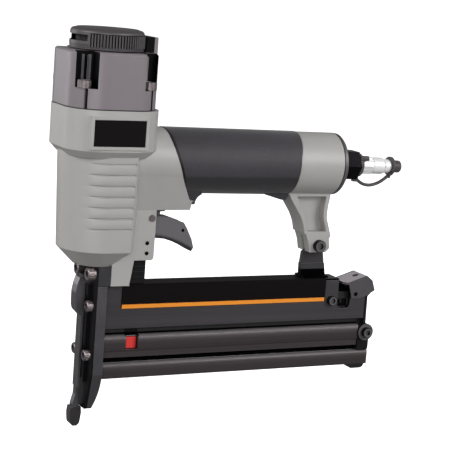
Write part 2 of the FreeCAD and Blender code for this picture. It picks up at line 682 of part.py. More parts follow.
def cap_gasket():
    piece = Piece("cap_gasket")
    page = rounded(piece.sketch("XY", S.collar_top_z), -S.cap_front, -S.cap_half, S.cap_back,
                   S.cap_half, S.cap_corner)
    circle(page, 0, 0, S.cap_low_radius)
    piece.pad(page, S.gasket_thickness)
    holes = piece.sketch("XY", S.collar_top_z - 1)
    for across, up in screw_spots():
        circle(holes, across, up, S.screw_radius + 0.1)
    piece.pocket(holes, 3, back=True)


def screws(label, plane, face, spots, head, height, shank, length, socket):
    """Socket screws.  The face is where the heads' tops lie along the plane's normal."""
    normal = {"XY": (0, 0, 1), "XZ": (0, -1, 0), "YZ": (1, 0, 0)}[plane]
    inward = plane != "YZ"
    piece = Piece(label, several=len(spots) > 1)
    heads, shanks, sockets = [piece.sketch(plane, face) for i in range(3)]
    for across, up in spots:
        circle(heads, across, up, head)
        circle(shanks, across, up, shank)
        hexagon(sockets, across, up, socket)
    piece.pad(heads, height, back=inward)
    piece.pad(shanks, height + length, back=inward)
    piece.chamfer(0.4, lambda edge: isinstance(edge.Curve, Part.Circle)
                  and abs(edge.Curve.Radius - head.number) < 0.01
                  and abs(edge.Curve.Center.dot(FreeCAD.Vector(*normal)) - face.number) < 0.01)
    piece.pocket(sockets, height * 0.55, back=not inward)
    return piece


def cap_screws():
    top = S.pocket_floor_z + S.screw_head_height
    screws("cap_screws", "XY", top, screw_spots(), S.screw_head_radius, S.screw_head_height,
           S.screw_radius, S.pocket_floor_z - S.cap_screw_end_z, 2.4)


def exhaust_deflector():
    """The turning top cap that throws the exhaust to one side through its window."""
    piece = Piece("exhaust_deflector")
    outer, wall = S.vent_radius_outer, S.exhaust_wall
    low, shoulder, top = S.exhaust_low_z, S.exhaust_shoulder_z, S.exhaust_top_z
    piece.revolve(outline(piece.sketch("XZ"), [
        (S.exhaust_bolt_radius + 0.05, low), (S.exhaust_boss_radius, low),
        (S.exhaust_boss_radius, shoulder - 1.2), (outer - wall - 3.6, shoulder - 1.2),
        (outer - wall, shoulder - 3.2), (outer - wall, low), (outer, low),
        (outer + 0.3, low + 3.0), (outer, shoulder - 0.8, 0.6),
        (S.exhaust_top_radius + 1.5, top - 0.5), (S.exhaust_top_radius, top),
        (S.exhaust_bolt_radius + 3.2, top), (S.exhaust_bolt_radius + 3.2, top - 3.2),
        (S.exhaust_bolt_radius + 0.05, top - 3.2)]))
    page = rectangle(piece.sketch("YZ", -outer - 2), -S.window_half, S.window_low_z,
                     S.window_half, S.window_high_z)
    piece.pocket(page, 12, back=True)


def exhaust_bolt():
    face = S.exhaust_top_z - 0.3
    screws("exhaust_bolt", "XY", face, [(dim(0), dim(0))], dim(5.2), dim(2.6),
           S.exhaust_bolt_radius, S.exhaust_top_z - S.cap_roof_z - 2.0, 2.6)


def exhaust_filter():
    """The ring of foam that quiets the exhaust, on the cap's roof inside the deflector."""
    piece = Piece("exhaust_filter")
    page = circle(piece.sketch("XY", S.cap_top_z), 0, 0, 19.6)
    circle(page, 0, 0, 16.8)
    piece.pad(page, S.exhaust_shoulder_z - S.cap_top_z - 3.0)


# ---------------------------------------------------------------- cylinder, valve and piston
def cylinder_sleeve():
    piece = Piece("cylinder_sleeve")
    piece.revolve(outline(piece.sketch("XZ"), [
        (S.sleeve_inner, S.sleeve_low_z), (S.sleeve_outer, S.sleeve_low_z),
        (S.sleeve_outer, S.flange_low_z), (S.flange_radius, S.flange_low_z),
        (S.flange_radius, 200.6), (S.flange_radius - 1.4, 200.6),
        (S.flange_radius - 1.4, 203.0), (S.flange_radius, 203.0),
        (S.flange_radius, S.flange_high_z), (S.sleeve_outer, S.flange_high_z),
        (S.sleeve_outer, S.sleeve_top_z), (S.sleeve_inner, S.sleeve_top_z)]))


def sleeve_rings():
    """The two seals between the sleeve and the barrel's bore."""
    piece = Piece("sleeve_rings", several=True)
    page = rectangle(piece.sketch("XZ"), S.flange_radius - 1.4, 200.8, S.bore_top_radius, 202.8)
    piece.revolve(page)
    page = rectangle(piece.sketch("XZ"), S.sleeve_outer, 121, S.bore_radius, 124)
    piece.revolve(page)


def bumper():
    """The rubber that stops the piston at the foot of its stroke."""
    piece = Piece("bumper")
    piece.revolve(outline(piece.sketch("XZ"), [
        (S.bumper_hole, S.bumper_low_z), (S.bumper_low_radius, S.bumper_low_z),
        (S.bumper_radius, S.bore_floor_z + 0.3), (S.bumper_radius, S.bumper_top_z),
        (S.bumper_hole, S.bumper_top_z)]))


def head_valve():
    """The cup that seals the top of the sleeve and lifts to let the air in."""
    piece = Piece("head_valve")
    inner = S.valve_radius - S.valve_wall
    piece.revolve(outline(piece.sketch("XZ"), [
        (0, S.valve_low_z), (S.valve_radius, S.valve_low_z), (S.valve_radius, S.valve_top_z),
        (inner, S.valve_top_z), (inner, S.valve_plate_z), (0, S.valve_plate_z)]))


def piston():
    piece = Piece("piston")
    groove = S.piston_ring_radius - 1.4
    piece.revolve(outline(piece.sketch("XZ"), [
        (0, S.piston_low_z), (S.piston_radius - 1.2, S.piston_low_z),
        (S.piston_radius, S.piston_low_z + 1.2), (S.piston_radius, 211.0), (groove, 211.0),
        (groove, 213.2), (S.piston_radius, 213.2), (S.piston_radius, S.piston_top_z),
        (0, S.piston_top_z)]))
    slot = rectangle(piece.sketch("XY", S.piston_low_z - 1), -S.blade_thickness / 2,
                     -S.blade_half, S.blade_thickness / 2, S.blade_half)
    piece.pocket(slot, S.blade_top_z - S.piston_low_z + 1, back=True)


def piston_ring():
    piece = Piece("piston_ring")
    piece.revolve(rectangle(piece.sketch("XZ"), S.piston_ring_radius - 1.3, 211.1,
                            S.piston_ring_radius, 213.1))


def driver_blade():
    piece = Piece("driver_blade")
    page = rectangle(piece.sketch("XY", S.blade_tip_z), -S.blade_thickness / 2, -S.blade_half,
                     S.blade_thickness / 2, S.blade_half)
    piece.pad(page, S.blade_top_z - S.blade_tip_z - 0.1)


# ---------------------------------------------------------------- nose
def nose_page(piece, face, top):
    """The nose's front view, tapering towards the tip."""
    tip, wide = S.nose_tip_half, S.nose_half
    return outline(piece.sketch("YZ", face), [
        (-tip, S.nose_tip_z), (tip, S.nose_tip_z), (wide, S.nose_shoulder_z), (wide, top),
        (-wide, top), (-wide, S.nose_shoulder_z)])


def pierce(piece, face, spots, radius, depth):
    """Holes that run back along +X from a face."""
    page = piece.sketch("YZ", face)
    for across, up in spots:
        circle(page, across, up, radius)
    piece.pocket(page, depth, back=True)


def plate_spots():
    return [(side * S.plate_screw_half, height) for side in (-1, 1)
            for height in (S.plate_screw_low_z, S.plate_screw_high_z)]


def top_spots():
    return [(side * S.top_screw_half, S.top_screw_z) for side in (-1, 1)]


def arm_slots(piece, face, low, high, depth):
    """Two upright slots that the arms of the contact element run in."""
    page = piece.sketch("YZ", face)
    for side in (-1, 1):
        rectangle(page, side * (S.arm_inner - S.arm_gap), low, side * (S.arm_outer + S.arm_gap),
                  high)
    piece.pocket(page, depth, back=True)


def driver_guide():
    """The steel guide behind the driver, with the slot that the fasteners come in by."""
    piece = Piece("driver_guide")
    face = -S.guide_front
    piece.pad(nose_page(piece, face, S.nose_top_z), S.guide_back - face)
    channel = rectangle(piece.sketch("YZ", face), -S.channel_half, S.nose_tip_z - 1,
                        S.channel_half, S.nose_top_z + 1)
    piece.pocket(channel, S.channel_depth - face, back=True)
    feed = rectangle(piece.sketch("YZ", face), -3.3, 37.5, 3.3, 91)
    piece.pocket(feed, 10, back=True)
    heel = outline(piece.sketch("XZ"), [
        (2.0, S.nose_tip_z - 1), (2.0, S.nose_tip_z, 1.0), (S.guide_back, 31.5), (8, 31.5),
        (8, S.nose_tip_z - 1)])
    piece.pocket(heel, 3 * S.nose_half, middle=True)
    pierce(piece, face, plate_spots(), S.plate_screw_radius + 0.1, 10)


def nose_front_plate():
    """The plate that closes the driver's channel, with two rails for the contact element."""
    piece = Piece("nose_front_plate")
    thick = S.plate_front - S.plate_back
    piece.pad(nose_page(piece, -S.plate_front, S.block_top_z), thick)
    rails = piece.sketch("YZ", -S.plate_front - S.rail_rise)
    for side in (-1, 1):
        rectangle(rails, side * 4.5, 30, side * 5.6, S.nose_top_z)
    piece.pad(rails, S.rail_rise + thick / 2)
    arm_slots(piece, -S.plate_front - 3, S.arm_low_z - 0.4, S.block_top_z + 1, 10)
    pierce(piece, -S.plate_front - 3, plate_spots(), S.plate_screw_radius + 0.1, 10)
    pierce(piece, -S.plate_front - 3, top_spots(), S.screw_radius + 0.1, 10)


def nose_block():
    """The block between the guide and the barrel, bolted to the casting's foot."""
    piece = Piece("nose_block")
    face = -S.guide_front
    page = rectangle(piece.sketch("YZ", face), -S.nose_half, S.block_low_z, S.nose_half,
                     S.block_top_z)
    piece.pad(page, S.block_back - face)
    channel = rectangle(piece.sketch("YZ", face), -S.channel_half, S.block_low_z - 1,
                        S.channel_half, S.block_top_z + 1)
    piece.pocket(channel, S.channel_depth - face, back=True)
    arm_slots(piece, face, S.block_low_z - 1, S.arm_slot_top_z, 10)
    pierce(piece, face, top_spots(), S.screw_radius + 0.1, 10)


def nose_top_screws():
    face = -S.plate_front - S.screw_head_height
    screws("nose_top_screws", "YZ", face, top_spots(), S.screw_head_radius,
           S.screw_head_height, S.screw_radius, S.top_screw_end + S.plate_front, 2.4)


def nose_plate_screws():
    face = -S.plate_front - S.plate_screw_height
    screws("nose_plate_screws", "YZ", face, plate_spots(), S.plate_screw_head,
           S.plate_screw_height, S.plate_screw_radius, S.plate_front + S.guide_back - 0.2, 2.0)


def contact_element():
    """The steel strip that slides on the nose, with two arms back to a bridge."""
    piece = Piece("contact_element")
    front, back = -S.contact_front, -6.0
    strip = outline(piece.sketch("XZ"), [
        (back, 26), (back, 99.0), (-7.6, 100.2), (-10.2, 98.6), (-11.6, 94.0),
        (-12.4, 89.0), (-12.3, 80.2), (-11.6, 77.2), (-9.0, 74.4), (front, 73.2), (front, 26)])
    piece.pad(strip, 2 * S.contact_half, middle=True)
    foot = outline(piece.sketch("XZ"), [
        (back, 28), (front, 28), (-7.9, 21), (-9.6, 14.5), (-9.2, 3), (-5.7, 3), (-5.3, 14.5),
        (back, 21)])
    piece.pad(foot, 2 * S.contact_foot_half, middle=True)
    ear = rectangle(piece.sketch("XY", S.arm_low_z), front, -S.arm_outer, back, S.arm_outer)
    piece.pad(ear, S.arm_high_z - S.arm_low_z)
    arms = piece.sketch("XY", S.arm_low_z)
    for side in (-1, 1):
        rectangle(arms, front, side * S.arm_inner, S.bridge_back, side * S.arm_outer)
    piece.pad(arms, S.arm_high_z - S.arm_low_z)
    bridge = rectangle(piece.sketch("XY", S.arm_low_z), S.bridge_front, -S.arm_outer,
                       S.bridge_back, S.arm_outer)
    piece.pad(bridge, S.arm_high_z - S.arm_low_z)


def no_mar_tip():
    """The soft pad on the contact element's foot."""
    piece = Piece("no_mar_tip")
    piece.pad(outline(piece.sketch("XZ"), [
        (-10.7, 12.6), (-11.3, 8.6), (-10.9, 3.4, 0.5), (-8.8, 0), (-6.4, 0, 0.5),
        (-4.1, 3.4), (-3.5, 8.6), (-3.8, 12.6)]),
        2 * S.pad_half, middle=True)
    hollow = outline(piece.sketch("XZ"), [
        (-9.25, 2.95), (-5.65, 2.95), (-5.25, 14.5), (-5.25, 16), (-9.65, 16), (-9.65, 14.5)])
    piece.pocket(hollow, 2 * S.contact_foot_half + 0.1, middle=True)


def safety_linkage():
    """The upright strip on the bridge, with the finger that reaches under the toggle."""
    piece = Piece("safety_linkage")
    strip = rectangle(piece.sketch("XZ"), S.link_front, S.arm_high_z, S.link_back,
                      S.finger_top_z)
    piece.pad(strip, 2 * S.link_half, middle=True)
    finger = rectangle(piece.sketch("XZ"), S.link_front + 0.5, S.finger_top_z - 1.6, 39,
                       S.finger_top_z)
    piece.pad(finger, 3.0, middle=True)


def linkage_guide():
    """The black plastic box behind the foot that steadies the linkage."""
    piece = Piece("linkage_guide")
    page = outline(piece.sketch("XZ"), [
        (20.7, S.foot_low_z + 0.1), (33.6, S.foot_low_z + 0.1), (33.6, S.guide_box_top_z),
        (22.9, S.guide_box_top_z)])
    piece.pad(page, 2 * S.guide_box_half, middle=True)
    page = outline(piece.sketch("XZ"), [
        (18, 93), (32.6, 93), (32.6, S.guide_box_top_z - 1.3),
        (18, S.guide_box_top_z - 1.3)])
    piece.pocket(page, 2 * S.guide_box_half - 2.2, middle=True)
    slot = rectangle(piece.sketch("XY", S.guide_box_top_z - 2), S.link_front - 0.4,
                     -S.link_half - 0.4, S.link_back + 0.4, S.link_half + 0.4)
    piece.pocket(slot, 4, back=True)
    for side in (-1, 1):
        page = piece.sketch("XZ", -side * (S.guide_box_half - 0.3))
        for height in (97.6, 101.2, 104.8):
            rectangle(page, 25, height, 32.4, height + 1.0)
        piece.pad(page, 0.9, back=side > 0)


def safety_spring():
    coil("safety_spring", 1.9, 0.25, S.arm_high_z + 0.1, S.guide_box_top_z - 1.4, 5,
         (dim(30), dim(0), dim(0)))


def guide_pins():
    piece = Piece("guide_pins", several=True)
    page = piece.sketch("XZ")
    for height in (122.2, 115.5):
        circle(page, S.guide_pin_x, height, S.guide_pin_radius)
    piece.pad(page, 2 * S.bracket_half + 0.6, middle=True)


# ---------------------------------------------------------------- magazine
def magazine_housing():
    """The fixed upper shell of the magazine, an inverted channel with a lowered rear roof."""
    piece = Piece("magazine_housing")
    half, wall, inner = S.mag_half, S.mag_wall, S.mag_half - S.mag_wall
    page = outline(piece.sketch("YZ", S.mag_front), [
        (-half, S.mag_low_z), (-inner, S.mag_low_z), (-inner, S.mag_top_z - wall),
        (inner, S.mag_top_z - wall), (inner, S.mag_low_z), (half, S.mag_low_z),
        (half, S.mag_top_z), (-half, S.mag_top_z)])
    piece.pad(page, S.mag_back - S.mag_front)
    length = S.mag_back - S.mag_front
    piece.chamfer(1.2, lambda edge: lengthwise(edge) and edge.BoundBox.XLength > length.number - 1
                  and edge.BoundBox.ZMin > S.mag_top_z.number - 0.1)
    well = rectangle(piece.sketch("XZ"), S.well_front, S.well_floor_z, S.mag_back + 1, 100)
    piece.pocket(well, 3 * half, middle=True)
    floor = rectangle(piece.sketch("XY", S.well_floor_z - S.well_skin), S.well_front - wall,
                      -half, S.mag_back, half)
    piece.pad(floor, S.well_skin)
    for side in (-1, 1):
        window = outline(piece.sketch("XZ", -side * inner), [
            (S.window_front, S.well_floor_z + 1), (S.window_front, S.window_foot_z + 3, 0.9),
            (S.window_front + 3, S.window_foot_z), (S.window_back - 3, S.window_foot_z, 0.9),
            (S.window_back, S.window_foot_z + 3), (S.window_back, S.well_floor_z + 1)])
        piece.pocket(window, 2 * wall, back=side < 0)
    holes = circle(piece.sketch("XZ"), S.latch_pin_x, S.latch_pin_z,
                   S.latch_pin_radius + 0.02)
    circle(holes, S.mag_bolt_x, S.mag_bolt_z, S.screw_radius + 0.1)
    piece.pocket(holes, 3 * half, middle=True)


def magazine_label():
    """A bare dark skin over the top and flanks of the magazine."""
    piece = Piece("magazine_label")
    half, skin = S.mag_half, S.label_skin
    low, top = S.label_low_z, S.mag_top_z
    cut = 1.2
    page = outline(piece.sketch("YZ", S.label_front), [
        (-half, low), (-half, top - cut), (cut - half, top), (half - cut, top),
        (half, top - cut), (half, low), (half + skin, low), (half + skin, top - cut + 0.1),
        (half - cut + 0.1, top + skin), (cut - half - 0.1, top + skin),
        (-half - skin, top - cut + 0.1), (-half - skin, low)])
    piece.pad(page, S.label_back - S.label_front)


def label_stripes():
    """The bright line along the foot of the dark skin, on both flanks."""
    piece = Piece("label_stripes", several=True)
    page = piece.sketch("YZ", S.label_front + 0.6)
    near, far = S.mag_half + S.label_skin, S.mag_half + S.label_skin + 0.08
    for side in (-1, 1):
        rectangle(page, side * near, S.label_low_z + 0.1, side * far, S.label_low_z + 2.7)
    piece.pad(page, S.label_back - S.label_front - 1.2)


def magazine_slide():
    """The lower half that draws back to load, a channel with two rails inside the shell."""
    piece = Piece("magazine_slide")
    right = [(S.slide_half, S.slide_low_z), (S.slide_half, S.slide_lip_z),
             (S.slide_groove_half, S.slide_lip_z), (S.slide_groove_half, S.slide_groove_z),
             (S.slide_step_half, S.slide_groove_z), (S.slide_step_half, S.slide_step_z),
             (S.slide_rail_half, S.slide_step_z), (S.slide_rail_half, S.slide_rail_z),
             (S.rail_half, S.slide_rail_z), (S.rail_half, S.rail_top_z),
             (S.rail_inner, S.rail_top_z), (S.rail_inner, S.rail_floor_z)]
    left = [(-across, up) for across, up in reversed(right)]
    piece.pad(outline(piece.sketch("YZ", S.slide_front), right + left),
              S.slide_back - S.slide_front)
    bar = rectangle(piece.sketch("YZ", S.slide_back - 1), -S.slide_half, S.slide_low_z,
                    S.slide_half, S.slide_lip_z)
    piece.pad(bar, S.bar_back - S.slide_back + 1)
    piece.fillet(S.slide_edge, lambda edge: lengthwise(edge) and abs(edge.BoundBox.YMin) > 7.9
                 and (level_at(edge, S.slide_lip_z.number)
                      or level_at(edge, S.slide_rail_z.number)))
    hollow = rectangle(piece.sketch("YZ", S.slide_front - 1), -S.hollow_half,
                       S.hollow_low_z, S.hollow_half, S.hollow_high_z)
    piece.pocket(hollow, S.slide_back - S.slide_front + 2, back=True)
    view = rectangle(piece.sketch("XZ"), S.window_front, S.window_foot_z + 0.6,
                     S.window_back, S.window_foot_z + 6)
    piece.pocket(view, 2 * S.rail_half + 1, middle=True)
    for side in (-1, 1):
        window = rectangle(piece.sketch("XZ", -side * (S.hollow_half - 0.5)), S.view_front,
                           S.view_low_z, S.view_back, S.slide_rail_z + 1)
        piece.pocket(window, 10, back=side < 0)


def slide_end_block():
    """The plastic block that closes the rear of the slide and catches the latch."""
    piece = Piece("slide_end_block")
    page = rounded(piece.sketch("XZ"), S.end_front, S.end_low_z, S.end_back, S.slide_rail_z,
                   dim(1.4))
    piece.pad(page, 2 * S.slide_rail_half, middle=True)
    tongue = rectangle(piece.sketch("XZ"), S.end_front, S.tongue_low_z, S.mag_back + 1, 80.5)
    piece.pad(tongue, 2 * S.tongue_half, middle=True)
    upper = outline(piece.sketch("XZ"), [
        (S.mag_back + 0.4, S.tongue_low_z), (204.8, S.tongue_low_z), (204.3, 80.5),
        (206.4, 82.5), (206.4, S.end_catch_z), (S.mag_back + 0.4, S.end_catch_z)])
    piece.pad(upper, 2 * S.slide_half, middle=True)
    hole = circle(piece.sketch("XZ"), S.end_bolt_x, S.end_bolt_z, S.screw_radius + 0.1)
    piece.pocket(hole, 40, middle=True)
    rod = circle(piece.sketch("YZ", S.end_front - 1), 0, S.rod_z, S.rod_radius + 0.02)
    piece.pocket(rod, S.mag_back + 2.4 - S.end_front + 1, back=True)


def slide_end_bolt():
    """The bolt through the end block, with a broad washer under its head."""
    piece = Piece("slide_end_bolt")
    face, head = S.slide_rail_half, S.end_bolt_head
    spot = (S.end_bolt_x, S.end_bolt_z)
    piece.pad(circle(piece.sketch("XZ", face), *spot, S.end_washer), 1.4)
    piece.pad(circle(piece.sketch("XZ", face), *spot, head), 4.6)
    piece.pad(circle(piece.sketch("XZ", face), *spot, S.screw_radius), 2 * face + 3.6, back=True)
    piece.chamfer(0.4, lambda edge: isinstance(edge.Curve, Part.Circle)
                  and abs(edge.Curve.Radius - head.number) < 0.01
                  and edge.BoundBox.YMax < -face.number - 4)
    piece.pad(hexagon(piece.sketch("XZ", -face), *spot, 4.4), 3.2, back=True)
    piece.pocket(hexagon(piece.sketch("XZ", face + 4.6), *spot, 2.0), 2.2)


def rear_foot():
    """The rubber foot that the gun stands on."""
    piece = Piece("rear_foot")
    page = outline(piece.sketch("XZ"), [
        (195.9, 28.6), (203.6, 28.6), (205.6, 29.6), (206.6, S.slide_low_z),
        (195.0, S.slide_low_z)])
    piece.pad(page, 2 * S.slide_half - 0.6, middle=True)


def spring_rod():
    piece = Piece("spring_rod")
    page = circle(piece.sketch("YZ", 33), 0, S.rod_z, S.rod_radius)
    piece.pad(page, S.mag_back + 2.3 - 33)


def pusher():
    """The follower that presses the strip of fasteners forward."""
    piece = Piece("pusher")
    page = outline(piece.sketch("XZ"), [
        (S.pusher_front, S.pusher_low_z), (S.pusher_back, S.pusher_low_z),
        (S.pusher_back, 72), (20, S.pusher_top_z), (S.pusher_front, S.pusher_top_z)])
    piece.pad(page, 2 * S.pusher_half, middle=True)
    hole = circle(piece.sketch("YZ", S.pusher_back), 0, S.rod_z, S.rod_hole)
    piece.pocket(hole, S.pusher_back - S.pusher_front + 1)
    wings = rectangle(piece.sketch("XZ"), S.pusher_front + 8, S.hollow_low_z + 0.4,
                      S.pusher_back, S.hollow_high_z - 0.4)
    piece.pad(wings, 2 * S.wing_half, middle=True)
    for side in (-1, 1):
        page = rectangle(piece.sketch("XZ", -side * (S.wing_half - 0.6)), S.view_front + 0.3,
                         S.view_low_z + 0.1, S.view_back - 0.3, S.hollow_high_z)
        piece.pocket(page, 2, back=side < 0)


def pusher_indicator():
    """The bright mark on the pusher that shows in the slide's window."""
    piece = Piece("pusher_indicator", several=True)
    for side in (-1, 1):
        page = rectangle(piece.sketch("XZ", -side * (S.wing_half - 0.6)), S.view_front + 0.5,
                         S.view_low_z + 0.3, S.view_back - 0.5, S.hollow_high_z - 0.4)
        piece.pad(page, 0.6, back=side > 0)


def pusher_spring():
    coil("pusher_spring", 2.4, 0.35, S.pusher_back + 0.4, S.end_front - 0.3, 26,
         (dim(0), dim(0), S.rod_z), (1, 0, 0))


def magazine_bolt():
    piece = Piece("magazine_bolt")
    spot = (S.mag_bolt_x, S.mag_bolt_z)
    length = S.mag_wall + 0.1
    piece.pad(circle(piece.sketch("XZ", S.mag_half), *spot, S.mag_bolt_head), 3.0)
    piece.pad(circle(piece.sketch("XZ", S.mag_half), *spot, S.screw_radius), length, back=True)
    piece.chamfer(0.4, lambda edge: isinstance(edge.Curve, Part.Circle)
                  and abs(edge.Curve.Radius - S.mag_bolt_head.number) < 0.01
                  and edge.BoundBox.YMax < -S.mag_half.number - 2)
    piece.pocket(hexagon(piece.sketch("XZ", S.mag_half + 3.0), *spot, 2.0), 1.6)


def latch_lever():
    """The bent sheet lever over the magazine's rear end; its back edge hooks the slide."""
    piece = Piece("latch_lever")
    half = S.mag_half + S.latch_gap + S.latch_sheet
    side = [(182.1, 91.8), (187.2, 90.7), (201.9, 95.4), (206.3, 92.1), (208.8, 85.0),
            (203.2, 81.8), (198.0, 79.6), (190.4, 79.6), (188.8, 85.0), (187.4, 89.5),
            (181.7, 90.6)]
    piece.pad(outline(piece.sketch("XZ"), side), 2 * half, middle=True)
    inside = outline(piece.sketch("XZ"), [
        (187.4, 89.5), (201.6, 94.0), (205.3, 91.2), (207.5, 84.7), (207.5, 76), (186, 76),
        (186, 89.3)])
    piece.pocket(inside, 2 * half - 2 * S.latch_sheet, middle=True)
    pin = circle(piece.sketch("XZ"), S.latch_pin_x, S.latch_pin_z,
                 S.latch_pin_radius + 0.05)
    piece.pocket(pin, 3 * half, middle=True)
    hole = circle(piece.sketch("XY", 80), 197.7, 0, 2.2)
    piece.pocket(hole, 30, back=True)


def latch_pin():
    """The pair of flush pins that the lever turns on, one in each wall of the magazine."""
    piece = Piece("latch_pin", several=True)
    spot = (S.latch_pin_x, S.latch_pin_z)
    outer = S.mag_half + S.latch_gap + S.latch_sheet
    for side in (-1, 1):
        page = circle(piece.sketch("XZ", -side * (S.mag_half - S.mag_wall + 0.1)), *spot,
                      S.latch_pin_radius)
        piece.pad(page, outer - S.mag_half + S.mag_wall - 0.1, back=side > 0)


def latch_spring():
    coil("latch_spring", 1.5, 0.2, S.well_floor_z + 0.05, 90.0, 3,
         (dim(190.6), dim(0), dim(0)))


def rear_bracket():
    """The sheet bracket between the magazine and the casting's rear leg."""
    piece = Piece("rear_bracket")
    low, bend = S.mag_top_z + S.label_skin + 0.1, S.bracket_bend_z
    front, back = dim(152.3), dim(171.6)
    plate = outline(piece.sketch("XZ"), [
        (front, low), (back, low), (170.0, bend), (168.6, 112), (167.4, 122.8),
        (157.0, 122.8), (155.6, 114), (152.6, 112), (151.9, bend)])
    piece.pad(plate, 2 * S.bracket_neck_half, middle=True)
    lower = outline(piece.sketch("XZ"), [
        (front, low), (back, low), (170.0, bend), (151.9, bend)])
    piece.pad(lower, 2 * S.bracket_foot_half, middle=True)
    foot = rectangle(piece.sketch("XY", low), front, -6.4, back, 6.4)
    piece.pad(foot, 1.4)
    hole = circle(piece.sketch("XZ"), S.leg_bolt_x, S.leg_bolt_z, S.leg_bolt_radius + 0.1)
    piece.pocket(hole, 40, middle=True)


def leg_bolt():
    """The bolt that joins the rear leg, the bracket and a nut on the far side."""
    piece = Piece("leg_bolt")
    spot = (S.leg_bolt_x, S.leg_bolt_z)
    face = S.leg_half
    piece.pad(circle(piece.sketch("XZ", face), *spot, S.screw_head_radius), 3.6)
    piece.pad(circle(piece.sketch("XZ", face), *spot, S.leg_bolt_radius), 2 * face + 3.4,
              back=True)
    piece.chamfer(0.4, lambda edge: isinstance(edge.Curve, Part.Circle)
                  and abs(edge.Curve.Radius - S.screw_head_radius.number) < 0.01
                  and edge.BoundBox.YMax < -face.number - 3)
    piece.pad(hexagon(piece.sketch("XZ", -face), *spot, 4.4), 3.2, back=True)
    piece.pocket(hexagon(piece.sketch("XZ", face + 3.6), *spot, 2.3), 1.9)


# ---------------------------------------------------------------- grip and air inlet
def grip_sleeve():
    """The rubber sleeve round the slim core of the handle."""
    piece = Piece("grip_sleeve")
    handle_tube(piece, 36, 146, S.grip_radius)
    lip = outline(piece.sketch("XZ"), [
        (47, 163), (57.8, 146.8), (63.4, 146.9, -1.2), (68.0, 153.4), (68, 164)])
    piece.pad(lip, 22.0, middle=True)
    heel = outline(piece.sketch("XZ"), [
        (112, 160), (116, 152.9), (127.6, 149.6), (131.4, 149.0), (133.6, 152), (133.6, 160)])
    piece.pad(heel, 17.0, middle=True)
    handle_tube(piece, 30, 150, S.handle_core_radius + S.grip_gap, cut=True)
    front = outline(piece.sketch("XZ"), [
        (61.6, 140), (61.6, 149.8), (58.0, 150.5), (51.8, 162.1), (47.6, 172.1),
        (44.0, 182.1), (42.0, 190.1), (41.0, 199), (30, 199), (30, 140)])
    piece.pocket(front, 60, middle=True)
    rear = outline(piece.sketch("XZ"), [
        (134.0, 148), (134.2, 164.7), (134.8, 179.8), (138.6, 194.2), (138.7, 200),
        (152, 200), (152, 148)])
    piece.pocket(rear, 60, middle=True)
    leg = outline(piece.sketch("XZ"), [
        (131.2, 159), (131.2, 157.8), (136.7, 148.6), (140, 148.6), (140, 159)])
    piece.pocket(leg, 2 * S.leg_half + 0.6, middle=True)


def end_cap_gasket():
    piece = Piece("end_cap_gasket")
    page = circle(piece.sketch("YZ", S.handle_back), 0, S.handle_axis_back_z,
                  S.handle_end_radius)
    circle(page, 0, S.handle_axis_back_z, S.handle_bore_radius)
    piece.pad(page, S.gasket_back - S.handle_back)
    tilt(piece)


def end_cap():
    """The plate that closes the handle and holds the air bushing."""
    piece = Piece("end_cap")
    page = circle(piece.sketch("YZ", S.gasket_back), 0, S.handle_axis_back_z,
                  S.end_cap_radius)
    circle(page, 0, S.handle_axis_back_z, 8.02)
    piece.pad(page, S.end_cap_back - S.gasket_back)
    back = S.end_cap_back.number
    piece.chamfer(1.0, lambda edge: edge.BoundBox.XLength < 1e-4
                  and abs(edge.BoundBox.XMin - back) < 0.01 and edge.BoundBox.YLength > 30)
    tilt(piece)


def inlet_bushing():
    """The hexagonal bushing screwed into the end cap."""
    piece = Piece("inlet_bushing")
    axis = S.handle_axis_back_z
    body = hexagon(piece.sketch("YZ", S.end_cap_back), 0, axis, S.bushing_radius)
    piece.pad(body, S.bushing_back - S.end_cap_back)
    neck = circle(piece.sketch("YZ", S.gasket_back - 2), 0, axis, 8.0)
    piece.pad(neck, S.end_cap_back - S.gasket_back + 2)
    bore = circle(piece.sketch("YZ", S.gasket_back - 2), 0, axis, 6.0)
    piece.pocket(bore, 30, back=True)
    tilt(piece)


def tether_ring():
    """The rubber ring on the bushing that the dust cap's strap hangs from."""
    piece = Piece("tether_ring")
    axis, face = S.handle_axis_back_z, S.bushing_back
    page = circle(piece.sketch("YZ", face), 0, axis, S.ring_radius)
    circle(page, 0, axis, 6.1)
    piece.pad(page, S.ring_back - face)
    knob = rounded(piece.sketch("YZ", face), dim(-8.4), axis + 3.7, dim(-4.9), axis + 7.2,
                   dim(1.2))
    piece.pad(knob, 6.6)
    lug = rectangle(piece.sketch("YZ", face), -1.6, S.strap_lug_z, 1.6, axis - 7)
    piece.pad(lug, S.ring_back - face)
    tilt(piece)


def air_plug():
    """The steel quick-change plug: hexagon, barrel, collar and nose."""
    piece = Piece("air_plug")
    axis = S.handle_axis_back_z
    back = S.plug_end
    stations = [(S.bushing_back - 8, 5.95), (S.ring_back, 5.95), (S.ring_back + 9.2, 5.2),
                (201.7, 5.7), (210.0, 3.9), (211.3, 4.8), (214.9, 4.3), (216.3, 3.2),
                (217.6, S.plug_radius)]
    for (start, radius), (stop, unused) in zip(stations, stations[1:] + [(back, None)]):
        page = circle(piece.sketch("YZ", start), 0, axis, radius)
        piece.pad(page, dim(stop) - start)
    piece.pad(hexagon(piece.sketch("YZ", S.ring_back + 0.2), 0, axis, S.plug_hex_radius), 8.6)
    bore = circle(piece.sketch("YZ", S.bushing_back - 9), 0, axis, 1.9)
    piece.pocket(bore, 60, back=True)
    tilt(piece)


